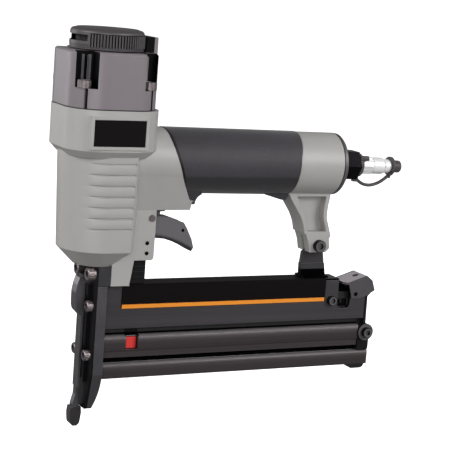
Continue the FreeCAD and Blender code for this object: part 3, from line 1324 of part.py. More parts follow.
def dust_cap():
    """The rubber cap over the plug's nose, with a thin flange."""
    piece = Piece("dust_cap")
    axis = S.handle_axis_back_z
    flange = circle(piece.sketch("YZ", S.dust_front), 0, axis, S.dust_flange_radius)
    piece.pad(flange, S.dust_flange)
    lug = rectangle(piece.sketch("YZ", S.dust_front), -1.6, axis - 8.2, 1.6, axis - 5)
    piece.pad(lug, S.dust_flange)
    body = circle(piece.sketch("YZ", S.dust_front), 0, axis, S.dust_radius)
    piece.pad(body, S.dust_back - S.dust_front)
    back = S.dust_back.number
    piece.fillet(1.1, lambda edge: edge.BoundBox.XLength < 1e-4
                 and abs(edge.BoundBox.XMin - back) < 0.01)
    hollow = circle(piece.sketch("YZ", S.dust_front - 1), 0, axis, S.plug_radius + 0.05)
    piece.pocket(hollow, S.plug_end - S.dust_front + 1.3, back=True)
    tilt(piece)


def tether_strap():
    """The moulded strap that hangs in a bow from the ring to the dust cap's flange."""
    points = [(192.2, 161.45), (195.2, 159.5), (201.9, 158.1), (209.1, 159.8),
              (213.4, 162.4), (215.5, 164.0)]
    curve = Part.BSplineCurve()
    curve.interpolate([FreeCAD.Vector(x, 0, z) for x, z in points])
    spine = Part.Wire([curve.toShape()])
    tangent = curve.tangent(curve.FirstParameter)[0]
    start = FreeCAD.Vector(points[0][0], 0, points[0][1])
    ring = Part.Wire([Part.Circle(start, tangent, S.strap_radius.number).toShape()])
    strap = spine.makePipeShell([ring], True, True)
    finish("tether_strap", strap)


# ---------------------------------------------------------------- trigger group
def trigger():
    """The channel-shaped trigger, open upward, hung on a pin at its front."""
    piece = Piece("trigger")
    piece.pad(outline(piece.sketch("XZ"), [
        (30.4, 140.8), (30.4, 136.4), (33.0, 124.0), (40.2, 123.8), (45.7, 123.3),
        (51.3, 121.6), (59.3, 118.1), (66, 114.5), (67.5, 117.2), (65.8, 122.7), (62, 130),
        (59.4, 133.9), (53.8, 135.8), (48.7, 137.5), (40, 138.2), (35.4, 140.8)]),
        2 * S.trigger_half, middle=True)
    inside = outline(piece.sketch("XZ"), [
        (28, 144), (28, 118), (41.0, 118), (41.0, 125.2), (45.9, 124.9), (52, 123.1),
        (60.1, 119.7), (64.9, 117.4), (64.1, 122.0), (60.9, 128.6), (60.4, 131), (60.4, 144)])
    piece.pocket(inside, 2 * S.trigger_half - 2 * S.trigger_wall, middle=True)
    holes = circle(piece.sketch("XZ"), S.pivot_x, S.pivot_z, S.pivot_radius + 0.05)
    circle(holes, S.toggle_x, S.toggle_z, S.toggle_pin_radius + 0.02)
    piece.pocket(holes, 40, middle=True)


def trigger_pin():
    piece = Piece("trigger_pin")
    page = circle(piece.sketch("XZ"), S.pivot_x, S.pivot_z, S.pivot_radius)
    piece.pad(page, 2 * S.bracket_half + 1.2, middle=True)
    for side in (-1, 1):
        head = circle(piece.sketch("XZ", -side * S.bracket_half), S.pivot_x, S.pivot_z,
                      S.pivot_head)
        piece.pad(head, 0.7, back=side > 0)


def toggle_pin():
    piece = Piece("toggle_pin")
    page = circle(piece.sketch("XZ"), S.toggle_x, S.toggle_z, S.toggle_pin_radius)
    piece.pad(page, 2 * S.trigger_half, middle=True)


def trigger_toggle():
    """The lever inside the trigger that only meets the valve when the nose is pressed."""
    piece = Piece("trigger_toggle")
    piece.pad(outline(piece.sketch("XZ"), [
        (36.8, 133.6), (56.6, 126.9), (58.6, 126.5), (60.5, 127.9), (60.5, 129.6),
        (58.0, 131.3), (38.6, 136.2), (36.8, 135.6)]), 2 * S.toggle_half, middle=True)
    hole = circle(piece.sketch("XZ"), S.toggle_x, S.toggle_z, S.toggle_pin_radius + 0.05)
    piece.pocket(hole, 20, middle=True)


def turned_at_valve(label, profile):
    """A turned piece on the trigger valve's upright axis."""
    piece = Piece(label)
    page = outline(piece.sketch("XZ"), [(S.valve_x + across, up) for across, up in profile])
    axis = page.addGeometry(Part.LineSegment(FreeCAD.Vector(S.valve_x.number, 0, 0),
                                             FreeCAD.Vector(S.valve_x.number, 10, 0)), True)
    pin_point(page, axis, 1, (S.valve_x, 0))
    pin_point(page, axis, 2, (S.valve_x, 10))
    return piece.feature("Revolution", page, ReferenceAxis=(page, ["Axis0"]), Angle=360.0)


def trigger_valve_body():
    outer, bore = S.valve_body_radius, S.stem_radius + 0.35
    turned_at_valve("trigger_valve_body", [
        (bore, S.valve_foot_z), (outer, S.valve_foot_z), (outer, 160), (bore, 160),
        (bore, 158.6), (3.4, 158.6), (3.4, 147), (bore, 147)])


def valve_stem():
    thin, head = S.stem_radius, S.stem_head_radius
    turned_at_valve("valve_stem", [
        (0, S.stem_low_z), (thin, S.stem_low_z), (thin, 149), (head, 149), (head, 151),
        (thin, 151), (thin, 156), (0, 156)])


def valve_spring():
    coil("valve_spring", 2.2, 0.25, 151.1, 158.5, 4, (S.valve_x, dim(0), dim(0)))


def head_valve_spring():
    coil("head_valve_spring", 13.0, 0.9, S.valve_plate_z + 0.1, S.cap_roof_z - 0.1, 2.5,
         (dim(0), dim(0), dim(0)))


def name_plates():
    """Two bare plates, one in the frame on each flank of the collar."""
    piece = Piece("name_plates", several=True)
    for side in (-1, 1):
        page = rectangle(piece.sketch("XZ", -side * S.collar_half), -S.badge_half_x,
                         S.badge_low_z, S.badge_half_x, S.badge_high_z)
        piece.pad(page, 0.4, back=side > 0)


# ---------------------------------------------------------------- build and write
def build():
    for make in (housing, cylinder_cap, cap_gasket, cap_screws, exhaust_deflector,
                 exhaust_bolt, exhaust_filter, cylinder_sleeve, sleeve_rings, bumper,
                 head_valve, head_valve_spring, piston, piston_ring, driver_blade,
                 driver_guide, nose_front_plate, nose_block, nose_top_screws,
                 nose_plate_screws, contact_element, no_mar_tip, safety_linkage,
                 linkage_guide, safety_spring, guide_pins, magazine_housing, magazine_label,
                 label_stripes, magazine_slide, slide_end_block, slide_end_bolt, rear_foot,
                 spring_rod, pusher, pusher_indicator, pusher_spring, magazine_bolt,
                 latch_lever, latch_pin, latch_spring, rear_bracket, leg_bolt, grip_sleeve,
                 end_cap_gasket, end_cap, inlet_bushing, tether_ring, air_plug, dust_cap,
                 tether_strap, trigger, trigger_pin, trigger_toggle, toggle_pin,
                 trigger_valve_body, valve_stem, valve_spring, name_plates):
        make()


def check():
    """Stop before anything is written when a feature failed or a shape is not sound."""
    DOC.recompute()
    for thing in DOC.Objects:
        if {"Invalid", "Error"} & set(thing.State):
            raise RuntimeError(f"{thing.Label}: {thing.State}")
    for piece in PIECES:
        if piece.Shape.isNull() or not piece.Shape.isValid():
            raise RuntimeError(f"{piece.Label}: the shape is not sound")


def write():
    os.makedirs("parts", exist_ok=True)
    for piece in PIECES:
        piece.Shape.exportStep(f"parts/{piece.Label}.step")


build()
check()
write()
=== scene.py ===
"""The looks of a pneumatic nail gun: finishes, fine pieces, stage and camera."""
import json
import math

import bmesh
import bpy
from bpy.props import FloatProperty, FloatVectorProperty, IntProperty, PointerProperty
from mathutils import Matrix, Vector


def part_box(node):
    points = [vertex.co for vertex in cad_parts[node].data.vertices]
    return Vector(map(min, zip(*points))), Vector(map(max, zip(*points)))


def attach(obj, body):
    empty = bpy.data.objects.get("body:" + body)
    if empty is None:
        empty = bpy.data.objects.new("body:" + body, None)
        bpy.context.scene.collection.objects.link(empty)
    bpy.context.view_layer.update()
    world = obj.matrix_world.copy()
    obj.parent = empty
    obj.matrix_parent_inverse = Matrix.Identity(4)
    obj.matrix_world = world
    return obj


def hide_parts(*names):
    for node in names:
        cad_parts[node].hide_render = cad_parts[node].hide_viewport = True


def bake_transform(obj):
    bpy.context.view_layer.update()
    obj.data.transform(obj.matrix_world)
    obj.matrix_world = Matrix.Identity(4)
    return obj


bl_info = {
    "name": "Pneumatic Nail Gun",
    "version": (1, 0, 0),
    "blender": (4, 5, 0),
    "location": "View3D > Sidebar > Nail Gun",
    "description": "Builds the finishes and fine pieces of a pneumatic nail gun on its CAD frame",
    "category": "Add Mesh",
}

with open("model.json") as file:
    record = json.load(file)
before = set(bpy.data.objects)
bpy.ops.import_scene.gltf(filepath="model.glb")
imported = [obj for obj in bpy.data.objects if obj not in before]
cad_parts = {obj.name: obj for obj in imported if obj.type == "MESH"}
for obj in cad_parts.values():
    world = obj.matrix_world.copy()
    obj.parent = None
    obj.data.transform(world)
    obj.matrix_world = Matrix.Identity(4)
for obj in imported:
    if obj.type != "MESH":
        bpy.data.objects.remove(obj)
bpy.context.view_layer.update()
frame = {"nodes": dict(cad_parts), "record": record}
NODES = frame["nodes"]

MERGE_DISTANCE = 1e-6

# Places on the frame that the finishes and the added pieces keep to, in metres.
# the barrel's level grooves, and the zone where it swells between them
GROOVE_PITCH, GROOVES_HIGH = 0.0069, 0.1746
GROOVES_LOW = GROOVES_HIGH - 6 * GROOVE_PITCH
GROOVES_FRONT, GROOVES_BACK, GROOVES_SIDE = (-0.022, -0.006), 0.0144, 0.012
GROOVE_SWELL, GROOVE_EDGE = 0.0004, 0.0005
# the head's corner pockets, the slits under them and the hollow of the guard, all painted black
# as shade
POCKET_ACROSS, POCKET_BACK, POCKET_FLOOR = (0.01555, 0.02685), 0.01595, 0.22095
SLIT_ACROSS, SLIT_BACK = (0.02085, 0.02255), 0.02265
GUARD_HOLLOW, GUARD_LOW = (0.0215, 0.0270), 0.24325
# the painted reflections inside a pocket, as pale lines: one on its back wall, one on the
# cylinder's tube
WALL_REFLECTION, WALL_REFLECTION_BACK, REFLECTIONS_TOP = (0.0203, 0.0221), 0.01605, 0.2410
TUBE_REFLECTION_ANGLES, TUBE_RADIUS = (0.715, 0.817), 0.0246
# the exhaust deflector's wall, the roof of its window and its serrations
DEFLECTOR_INSIDE, DEFLECTOR_ROOF = 0.0229, 0.2545
SERRATED_WALL, SERRATED_RISE, SERRATED_FROM = (0.0228, 0.0236), (0.2456, 0.2536), -0.0172
SERRATION_REACH, SERRATION_LOW, SERRATION_HIGH = 0.0240, 0.0016, 0.0036
SERRATED_SHARE = 0.77
# the trigger's front edge as a parabola, and the band above it over which the darker part below
# fades out
TRIGGER_FRONT, TRIGGER_LOW, TRIGGER_BEND = 0.033, 0.1242, 8.6
TRIGGER_DARK_FADE = (0.0012, 0.0034)
# the grip's smooth underside with its painted shade, and the band of painted shade along its
# raked front edge
GRIP_BREAK, GRIP_BLEND = 0.1663, 0.0012
GRIP_FRONT, GRIP_FRONT_LOW, GRIP_RAKE, GRIP_BEND = 0.0580, 0.1505, 0.575, 4.6
GRIP_SHADE_BAND, GRIP_SHADE_REACH = 0.0013, 0.005
# the slide's two crowned bands with their swell, the painted highlights along its edges and its
# hollows, which take painted shade
SLIDE_BANDS = ((0.0495, 0.0604, 0.0011), (0.0317, 0.0417, 0.0010))
SLIDE_HIGHLIGHT_EDGES = ((0.0596, 0.0605), (0.0409, 0.0418))
SLIDE_HOLLOW, SLIDE_GROOVE, SLIDE_GAP = 0.0074, (0.0418, 0.0502), (0.0604, 0.0618)
WINDOW_MARGIN = 0.001
# a skin's thickness, the latch lever's cut edge, the bracket's bend with painted shade below it,
# and a screw's socket
SKIN = 0.0001
LEVER_EDGE = 0.0011
BRACKET_BEND, BRACKET_BLEND = 0.1005, 0.0008
SOCKET_DEPTH = 0.002
# a knurl ridge's radius, how deep it sits in a head and how far it stays from its top
KNURL_RIDGE, KNURL_SUNK, KNURL_TOP = 0.00024, 0.00012, 0.0005
# the dust cap's strap: its line, its section and where it follows the cap
STRAP_LINE = (
    (0.1917, 0, 0.1619), (0.1934, 0, 0.1606), (0.1956, 0, 0.1593), (0.1986, 0, 0.1584),
    (0.2019, 0, 0.1581), (0.2054, 0, 0.1586), (0.2091, 0, 0.1598), (0.2122, 0, 0.1615),
    (0.2146, 0, 0.1632), (0.2162, 0, 0.1645))
STRAP_FLATNESS, STRAP_SIDES = 0.85, 16


# ---------------------------------------------------------------- sizes and colours
def length_setting(name, description, value):
    return FloatProperty(name=name, description=description, default=value, min=0.0,
                         unit="LENGTH", precision=5)


def colour_setting(name, description, value):
    return FloatVectorProperty(name=name, description=description, default=value, size=3,
                               min=0.0, max=1.0, subtype="COLOR")


class NailGunColours(bpy.types.PropertyGroup):
    """The colours of the painted, moulded and printed finishes."""
    casting: colour_setting("Casting", "Enamel on the grey body casting",
                            (0.385, 0.378, 0.366))
    head: colour_setting("Head", "Enamel on the head casting", (0.205, 0.180, 0.195))
    deflector: colour_setting("Deflector", "Enamel on the exhaust deflector",
                              (0.055, 0.048, 0.052))
    magazine: colour_setting("Magazine", "Anodised skin of the magazine",
                             (0.062, 0.058, 0.062))
    slide: colour_setting("Slide", "Anodised skin of the slide", (0.058, 0.048, 0.050))
    trigger: colour_setting("Trigger", "Enamel on the trigger", (0.125, 0.120, 0.128))
    grip: colour_setting("Grip", "Rubber of the grip sleeve", (0.044, 0.041, 0.048))
    film: colour_setting("Film", "Dark film of the bare labels", (0.005, 0.004, 0.004))
    stripe: colour_setting("Stripe", "Orange line on the magazine film",
                           (0.86, 0.29, 0.03))
    signal: colour_setting("Signal", "Red of the low-load indicator", (0.72, 0.04, 0.035))


class NailGunSizes(bpy.types.PropertyGroup):
    """The sizes of the pieces that are added to the frame."""
    edge: length_setting("Edge", "Radius that softens the castings' edges", 0.0005)
    rib_height: length_setting("Serration height", "How far a serration stands out",
                               0.0007)
    rib_count: IntProperty(name="Serrations", description="Serrations in a full turn",
                           default=78, min=8, max=200)
    knurl_count: IntProperty(name="Knurl ridges", description="Ridges round a screw head",
                             default=20, min=8, max=80)
    strap: length_setting("Strap", "Width of the dust cap's strap", 0.0027)


class NailGunStudio(bpy.types.PropertyGroup):
    """The stage, the lights and the camera."""
    turn: FloatProperty(name="Turn", description="Camera's turn round the tool",
                        default=math.radians(27.0), subtype="ANGLE")
    pitch: FloatProperty(name="Pitch", description="How far the camera looks down",
                         default=math.radians(10.0), subtype="ANGLE")
    roll: FloatProperty(name="Roll", description="Camera's roll about its own axis",
                        default=math.radians(4.45), subtype="ANGLE")
    lens: FloatProperty(name="Lens", description="Focal length in millimetres",
                        default=116.0, min=10.0)
    aim: FloatVectorProperty(name="Aim", description="Point that the camera looks at",
                             default=(0.09217, 0.0, 0.13092), size=3, subtype="TRANSLATION")
    reach: length_setting("Reach", "How far from its aim the camera stands", 0.96505)
    key: FloatProperty(name="Key light", description="Power of the key light in watts",
                       default=16.8, min=0.0)
    room: FloatProperty(name="Room", description="Strength of the light from all round",
                        default=0.19, min=0.0)
    paper: colour_setting("Paper", "Colour of the floor", (0.91, 0.91, 0.91))


# ---------------------------------------------------------------- shader arithmetic
class Value:
    """A shader socket that takes part in arithmetic; each operation adds its Math node."""

    def __init__(self, finish, socket):
        self.finish, self.socket = finish, socket

    def math(self, operation, first, second=0.0):
        return self.finish.node("ShaderNodeMath", {"operation": operation},
                                {0: first, 1: second})

    def __add__(self, other):
        return self.math("ADD", self, other)

    def __mul__(self, other):
        return self.math("MULTIPLY", self, other)

    __radd__, __rmul__ = __add__, __mul__

    def __sub__(self, other):
        return self.math("SUBTRACT", self, other)

    def __rsub__(self, other):
        return self.math("SUBTRACT", other, self)

    def above(self, limit):
        return self.math("GREATER_THAN", self, limit)

    def below(self, limit):
        return self.math("LESS_THAN", self, limit)

    def between(self, low, high):
        return self.above(low) * self.below(high)

    def size(self):
        return self.math("ABSOLUTE", self)

    def root(self):
        return self.math("SQRT", self)

    def clipped(self):
        """The value held between 0 and 1."""
        return self.math("MINIMUM", self.math("MAXIMUM", self, 0.0), 1.0)


class Finish:
    """One procedural material while it is made."""

    def __init__(self, name):
        self.name = name
        self.material = bpy.data.materials.new(name)
        self.material.use_nodes = True
        self.tree = self.material.node_tree
        self.shader = self.tree.nodes["Principled BSDF"]
        self.place = self.node("ShaderNodeTexCoord", out="Object")

    def node(self, kind, settings=None, sockets=None, out=0):
        """Add a node, with its settings first and then its sockets' values or links."""
        made = self.tree.nodes.new(kind)
        for name, setting in (settings or {}).items():
            if name == "stops":
                self.stops(made.color_ramp, setting)
            else:
                setattr(made, name, setting)
        for name, value in (sockets or {}).items():
            self.join(value, made.inputs[name])
        return Value(self, made.outputs[out])

    def join(self, value, socket):
        if isinstance(value, Value):
            self.tree.links.new(value.socket, socket)
        else:
            socket.default_value = value

    @staticmethod
    def stops(ramp, places):
        """Set a ramp's stops from pairs of a position and a grey level."""
        while len(ramp.elements) < len(places):
            ramp.elements.new(1.0)
        for element, (position, level) in zip(ramp.elements, places):
            element.position = position
            element.color = (level, level, level, 1.0)

    def set(self, **values):
        """Set the shader's own sockets, by the short names in SOCKETS."""
        for name, value in values.items():
            self.join(value, self.shader.inputs[SOCKETS[name]])

    def noise(self, scale, detail=3.0, rough=0.5, stretch=None):
        """Even noise in object space; stretch scales its three axes."""
        place = self.place
        if stretch:
            place = self.node("ShaderNodeMapping", None,
                              {"Vector": place, "Scale": stretch})
        return self.node("ShaderNodeTexNoise", None,
                         {"Vector": place, "Scale": scale, "Detail": detail,
                          "Roughness": rough})

    def level(self, value, *stops):
        """Reshape a value through a ramp."""
        return self.node("ShaderNodeValToRGB", {"stops": stops}, {"Fac": value})

    def mix(self, share, first, second, blend="MIX"):
        """Mix two colours."""
        return self.node("ShaderNodeMix", {"data_type": "RGBA", "blend_type": blend},
                         {0: share, 6: first, 7: second}, 2)

    def axes(self, place=None):
        """The three coordinates of a place, in metres on the object unless told."""
        split = self.node("ShaderNodeSeparateXYZ", None, {0: place or self.place})
        return [Value(self, socket) for socket in split.socket.node.outputs]

    def rise(self, value, low, high):
        """0 below the low value, 1 above the high one, with a smooth change between."""
        return self.node("ShaderNodeMapRange", {"interpolation_type": "SMOOTHSTEP"},
                         {"Value": value, "From Min": low, "From Max": high})

    def worn_now(self, name):
        """What feeds one of the shader's sockets: a value if it is linked, or a number."""
        socket = self.shader.inputs[SOCKETS[name]]
        if socket.links:
            return Value(self, socket.links[0].from_socket)
        return socket.default_value

    def over(self, mask, colour, roughness, metallic=None):
        """Lay a second colour and gloss over the first where the mask is 1."""
        self.set(base=self.mix(mask, self.worn_now("base"), (*colour, 1.0)))
        for name, target in (("roughness", roughness), ("metallic", metallic)):
            if target is not None:
                first = self.worn_now(name)
                self.set(**{name: mask * (target - first) + first})
        return self

    def black_out(self, mask):
        """Leave what the mask covers a dead black."""
        return self.over(mask, BLACK, 0.6, 1.0)

    def shades(self, colour, spread, share):
        """A colour that drifts darker and lighter by the spread, as the share goes 0 to 1."""
        dark = [c * (1 - spread) for c in colour] + [1.0]
        light = [min(1.0, c * (1 + spread)) for c in colour] + [1.0]
        return self.mix(share, dark, light)

    def relief(self, height, depth, edge=0.0, form=None):
        """Feed the shader's normal with a fine height times its depth in metres, and with
        the larger form's height in metres, over softened edges."""
        if form is None:
            sockets = {"Height": height, "Distance": depth, "Strength": 1.0}
        else:
            sockets = {"Height": height * depth + form, "Distance": 1.0, "Strength": 1.0}
        if edge:
            sockets["Normal"] = self.node("ShaderNodeBevel", {"samples": 6},
                                          {"Radius": edge})
        self.set(normal=self.node("ShaderNodeBump", None, sockets))

    def band(self, value, low, high, depth):
        """The height in metres of a crowned band between two places, 0 outside it."""
        share = (value - (low + high) / 2) * (2 / (high - low))
        return share.math("MAXIMUM", 1.0 - share * share, 0.0) * depth


SOCKETS = {
    "base": "Base Color", "roughness": "Roughness", "metallic": "Metallic",
    "normal": "Normal", "coat": "Coat Weight", "coat_roughness": "Coat Roughness",
    "specular": "Specular IOR Level", "sheen": "Sheen Weight",
    "sheen_roughness": "Sheen Roughness", "glow": "Emission Color",
    "glow_strength": "Emission Strength",
}


# ---------------------------------------------------------------- finishes
BLACK = (0.002, 0.002, 0.002)
# the grey of the painted reflections in the head's pockets
REFLECTION_GREY = (0.26, 0.25, 0.27)


def enamel(name, colour, roughness, grain, edge, coat=0.15, form=None):
    """Sprayed enamel on a die casting: a fine orange peel over slow changes of tone."""
    paint = Finish(name)
    peel = paint.noise(grain, 2.0, 0.45)
    cloud = paint.noise(26.0, 4.0, 0.6)
    speck = paint.noise(2600.0, 1.0, 0.5)
    share = paint.level(cloud * 0.75 + speck * 0.25, (0.32, 0.0), (0.68, 1.0))
    paint.set(base=paint.shades(colour, 0.05, share), metallic=0.0,
              roughness=roughness + 0.07 * (cloud - 0.5) + 0.05 * (peel - 0.5),
              coat=coat, coat_roughness=0.32)
    paint.relief(peel * 0.7 + speck * 0.3, 0.00006, edge, form and form(paint))
    return paint


def groove_swell(paint):
    """The height by which the barrel swells between one level groove and the next."""
    x, y, z = paint.axes()
    wave = (z - GROOVES_LOW) * (math.pi / GROOVE_PITCH)
    rise = (paint.rise(z, GROOVES_LOW - GROOVE_EDGE, GROOVES_LOW)
            * (1.0 - paint.rise(z, GROOVES_HIGH, GROOVES_HIGH + GROOVE_EDGE)))
    zone = (rise * y.size().above(GROOVES_SIDE) * paint.rise(x, *GROOVES_FRONT)
            * x.below(GROOVES_BACK))
    return wave.math("SINE", wave).size() * zone * GROOVE_SWELL


def head_enamel(colour, edge):
    """The head's enamel, with painted shade and painted reflections: its screw pockets, the slits
    under them and the hollow of its guard are painted black as shade, and pale painted
    reflections lie in the pockets.
    """
    paint = enamel("head_paint", colour, 0.36, 900.0, edge, 0.2)
    x, y, z = paint.axes()
    across, out = x.size(), y.size()
    pocket = across.between(*POCKET_ACROSS) * out.above(POCKET_BACK) * z.above(POCKET_FLOOR)
    slit = across.between(*SLIT_ACROSS) * out.above(SLIT_BACK) * z.below(POCKET_FLOOR)
    guard = x.between(*GUARD_HOLLOW) * z.above(GUARD_LOW)
    # painted shade: the pockets, the slits and the guard's hollow are painted black
    paint.black_out((pocket + slit + guard).clipped())
    # painted reflections: pale lines on a pocket's back wall and on the cylinder's tube
    reflection_on_wall = across.between(*WALL_REFLECTION) * out.below(WALL_REFLECTION_BACK)
    reflection_on_tube = (out.math("ARCTAN2", out, across).between(*TUBE_REFLECTION_ANGLES)
               * (x * x + y * y).root().below(TUBE_RADIUS))
    lines = (reflection_on_wall + reflection_on_tube).clipped() * pocket * z.below(REFLECTIONS_TOP)
    return paint.over(lines, REFLECTION_GREY, 0.3)


def deflector_enamel(colour, edge):
    """The deflector's enamel, with painted shade: black inside its window and between the
    serrations.
    """
    paint = enamel("deflector_finish", colour, 0.42, 1000.0, edge)
    x, y, z = paint.axes()
    radius = (x * x + y * y).root()
    inside = radius.below(DEFLECTOR_INSIDE) * z.below(DEFLECTOR_ROOF)
    between = x.above(SERRATED_FROM) * z.between(*SERRATED_RISE)
    # painted shade: the inside of the window and the wall between the serrations are painted
    # black
    return paint.black_out((inside + between * radius.between(*SERRATED_WALL)).clipped())


def trigger_enamel(colour, edge):
    """The trigger's enamel, darker below a curve across it."""
    paint = enamel("trigger_finish", colour, 0.36, 1100.0, edge)
    x, y, z = paint.axes()
    along = x - TRIGGER_FRONT
    curve = TRIGGER_LOW - along * along * TRIGGER_BEND
    # darker below the curve, fading out over a band above it
    worn = 1.0 - paint.rise(z - curve, *TRIGGER_DARK_FADE)
    return paint.over(worn, (0.018, 0.017, 0.018), 0.3)


def anodised(name, colour, edge, bands=()):
    """A dark anodised extrusion, with drawing lines along it and crowned bands."""
    skin = Finish(name)
    x, y, z = skin.axes()
    lines = skin.noise(420.0, 3.0, 0.65, (0.012, 1.0, 1.0))
    cloud = skin.noise(18.0, 3.0, 0.5, (0.3, 1.0, 1.0))
    share = skin.level(lines * 0.6 + cloud * 0.4, (0.3, 0.0), (0.7, 1.0))
    skin.set(base=skin.shades(colour, 0.14, share), metallic=0.35,
             roughness=0.33 + 0.16 * (lines - 0.5) + 0.08 * (cloud - 0.5))
    form = None
    for low, high, depth in bands:
        crown = skin.band(z, low, high, depth)
        form = crown if form is None else form + crown
    skin.relief(lines, 0.00003, edge, form)
    return skin


def slide_skin(colour, edge):
    """The slide's anodised skin, with painted light and shade: pale painted highlights along its
    edges, and painted shade in its window and its hollows.
    """
    skin = anodised("magazine_finish", colour, edge, SLIDE_BANDS)
    x, y, z = skin.axes()
    front, back = (corner.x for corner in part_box("pusher_indicator"))
    (upper_low, upper_high), lower_edge = SLIDE_HIGHLIGHT_EDGES
    window = x.between(front - WINDOW_MARGIN, back + WINDOW_MARGIN) * z.above(upper_low)
    # painted highlight: pale lines along the top edges of the rail and the bar
    painted_highlight = (z.between(upper_low, upper_high) + z.between(*lower_edge)).clipped()
    skin.over(painted_highlight * (1.0 - window) * 0.8, (0.26, 0.24, 0.25), 0.3)
    # painted shade: the slide round the indicator's window is painted black
    skin.black_out(window)
    # painted shade: the hollow between the slide's walls is dark grey above the gap, black in the
    # groove and the gap
    hollow = y.size().below(SLIDE_HOLLOW)
    skin.over(hollow * z.above(SLIDE_GAP[0]), (0.018, 0.017, 0.018), 0.45)
    return skin.black_out(hollow * (z.between(*SLIDE_GROOVE) + z.between(*SLIDE_GAP)))


def magazine_skin(colour, edge):
    """The magazine's anodised skin, with black film on its top, and its inside painted black as
    painted shade.
    """
    skin = anodised("magazine_skin", colour, edge)
    x, y, z = skin.axes()
    low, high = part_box("magazine_housing")
    film_front, film_back = (corner.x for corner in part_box("magazine_label"))
    top = z.above(high.z - SKIN) * x.between(film_front, film_back)
    # painted shade: the housing's inner faces are painted black
    inside = y.size().below(high.y - SKIN) * z.below(high.z - SKIN)
    return skin.black_out((top + inside).clipped())


def steel(name, colour, roughness, edge, metallic=1.0, specular=0.5):
    """Worked steel with a fine broken grain and faint handling marks."""
    metal = Finish(name)
    grit = metal.noise(900.0, 3.0, 0.6)
    cloud = metal.noise(60.0, 3.0, 0.55)
    share = metal.level(grit * 0.5 + cloud * 0.5, (0.3, 0.0), (0.7, 1.0))
    metal.set(base=metal.shades(colour, 0.10, share), metallic=metallic,
              specular=specular,
              roughness=roughness + 0.14 * (cloud - 0.5) + 0.10 * (grit - 0.5))
    metal.relief(grit, 0.00002, edge)
    return metal


def screw_steel(name, colour, edge):
    """Plated screws: dull, with painted shade: black in their sockets and wherever ambient
    occlusion finds them closed in.
    """
    metal = steel(name, colour, 0.42, edge)
    # painted shade: ambient occlusion paints the sockets and other closed-in spots black
    open_air = metal.node("ShaderNodeAmbientOcclusion", {"samples": 8, "only_local": True},
                          {"Distance": SOCKET_DEPTH}, 1)
    return metal.black_out(1.0 - metal.rise(open_air, 0.45, 0.85))


def bolt_steel(edge):
    """The side bolts: black heads, with painted light: faces turned along y are painted a lit
    grey.
    """
    metal = screw_steel("bolt_finish", (0.016, 0.015, 0.016), edge)
    # painted light: the faces that are turned along y are painted grey, the heads' other faces
    # stay black
    facing = metal.axes(metal.node("ShaderNodeNewGeometry", out=1))[1].size()
    return metal.over(metal.rise(facing, 0.85, 0.95), (0.105, 0.100, 0.104), 0.4,
                      metallic=0.2)


def lever_steel(edge):
    """The latch lever: blued sheet, painted pale on top as painted light, with black cut edges.
    """
    sheet = steel("latch_finish", (0.100, 0.091, 0.101), 0.34, edge, metallic=0.3)
    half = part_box("latch_lever")[1].y
    x, y, z = sheet.axes()
    # painted light: faces that turn upward are painted pale, as if lit from above
    facing = sheet.axes(sheet.node("ShaderNodeNewGeometry", out=1))[2]
    sheet.over(sheet.rise(facing, 0.35, 0.8), (0.62, 0.57, 0.60), 0.38)
    return sheet.black_out(y.size().between(half - LEVER_EDGE, half - SKIN))


def bracket_steel(edge):
    """The rear bracket: grey above its bend, and below it painted black as painted shade."""
    sheet = steel("bracket_finish", (0.050, 0.047, 0.050), 0.35, edge, metallic=0.2,
                  specular=0.3)
    x, y, z = sheet.axes()
    # painted shade: the sheet below the bend is painted black
    return sheet.black_out(1.0 - sheet.rise(z, BRACKET_BEND - BRACKET_BLEND, BRACKET_BEND))


def turned(name, colour, roughness, edge, metallic=1.0):
    """Bright plated or turned metal, with hair-fine lathe lines."""
    metal = Finish(name)
    lines = metal.noise(1500.0, 2.0, 0.5, (1.0, 0.02, 0.02))
    cloud = metal.noise(90.0, 2.0, 0.5)
    metal.set(base=metal.shades(colour, 0.04, cloud), metallic=metallic,
              roughness=roughness + 0.05 * (cloud - 0.5) + 0.04 * (lines - 0.5))
    metal.relief(lines, 0.000006, edge)
    return metal


def rubber(name, colour, roughness, edge, grain=1800.0, depth=0.00005, sheen=0.04):
    """Moulded rubber with a fine stippled skin."""
    skin = Finish(name)
    pits = skin.node("ShaderNodeTexVoronoi", {"feature": "SMOOTH_F1"},
                     {"Vector": skin.place, "Scale": grain, "Smoothness": 0.6})
    cloud = skin.noise(40.0, 4.0, 0.6)
    dust = skin.noise(700.0, 2.0, 0.6)
    share = skin.level(cloud * 0.5 + dust * 0.3 + pits * 0.3, (0.34, 0.0), (0.72, 1.0))
    skin.set(base=skin.shades(colour, 0.16, share), metallic=0.0, sheen=sheen, specular=0.3,
             sheen_roughness=0.45, roughness=roughness + 0.12 * (dust - 0.5))
    skin.relief(1.0 - pits, depth, edge)
    return skin


def grip_skin(colour, edge):
    """The grip's rubber, with painted shade: smoother and painted darker underneath, with a black
    band of painted shade along its front edge.
    """
    skin = rubber("grip_rubber", colour, 0.55, edge, 1400.0, 0.00009, 0.25)
    x, y, z = skin.axes()
    # painted shade: the underside is painted darker
    under = 1.0 - skin.rise(z, GRIP_BREAK - GRIP_BLEND, GRIP_BREAK + GRIP_BLEND)
    skin.over(under * 0.75, [c * 0.35 for c in colour], 0.5)
    # painted shade: a black band along the raked front edge
    up = z - GRIP_FRONT_LOW
    front = GRIP_FRONT - up * GRIP_RAKE + up * up * GRIP_BEND
    front_shade = (x - front).below(GRIP_SHADE_BAND) * x.below(GRIP_FRONT + GRIP_SHADE_REACH)
    return skin.over(front_shade, BLACK, 0.5)


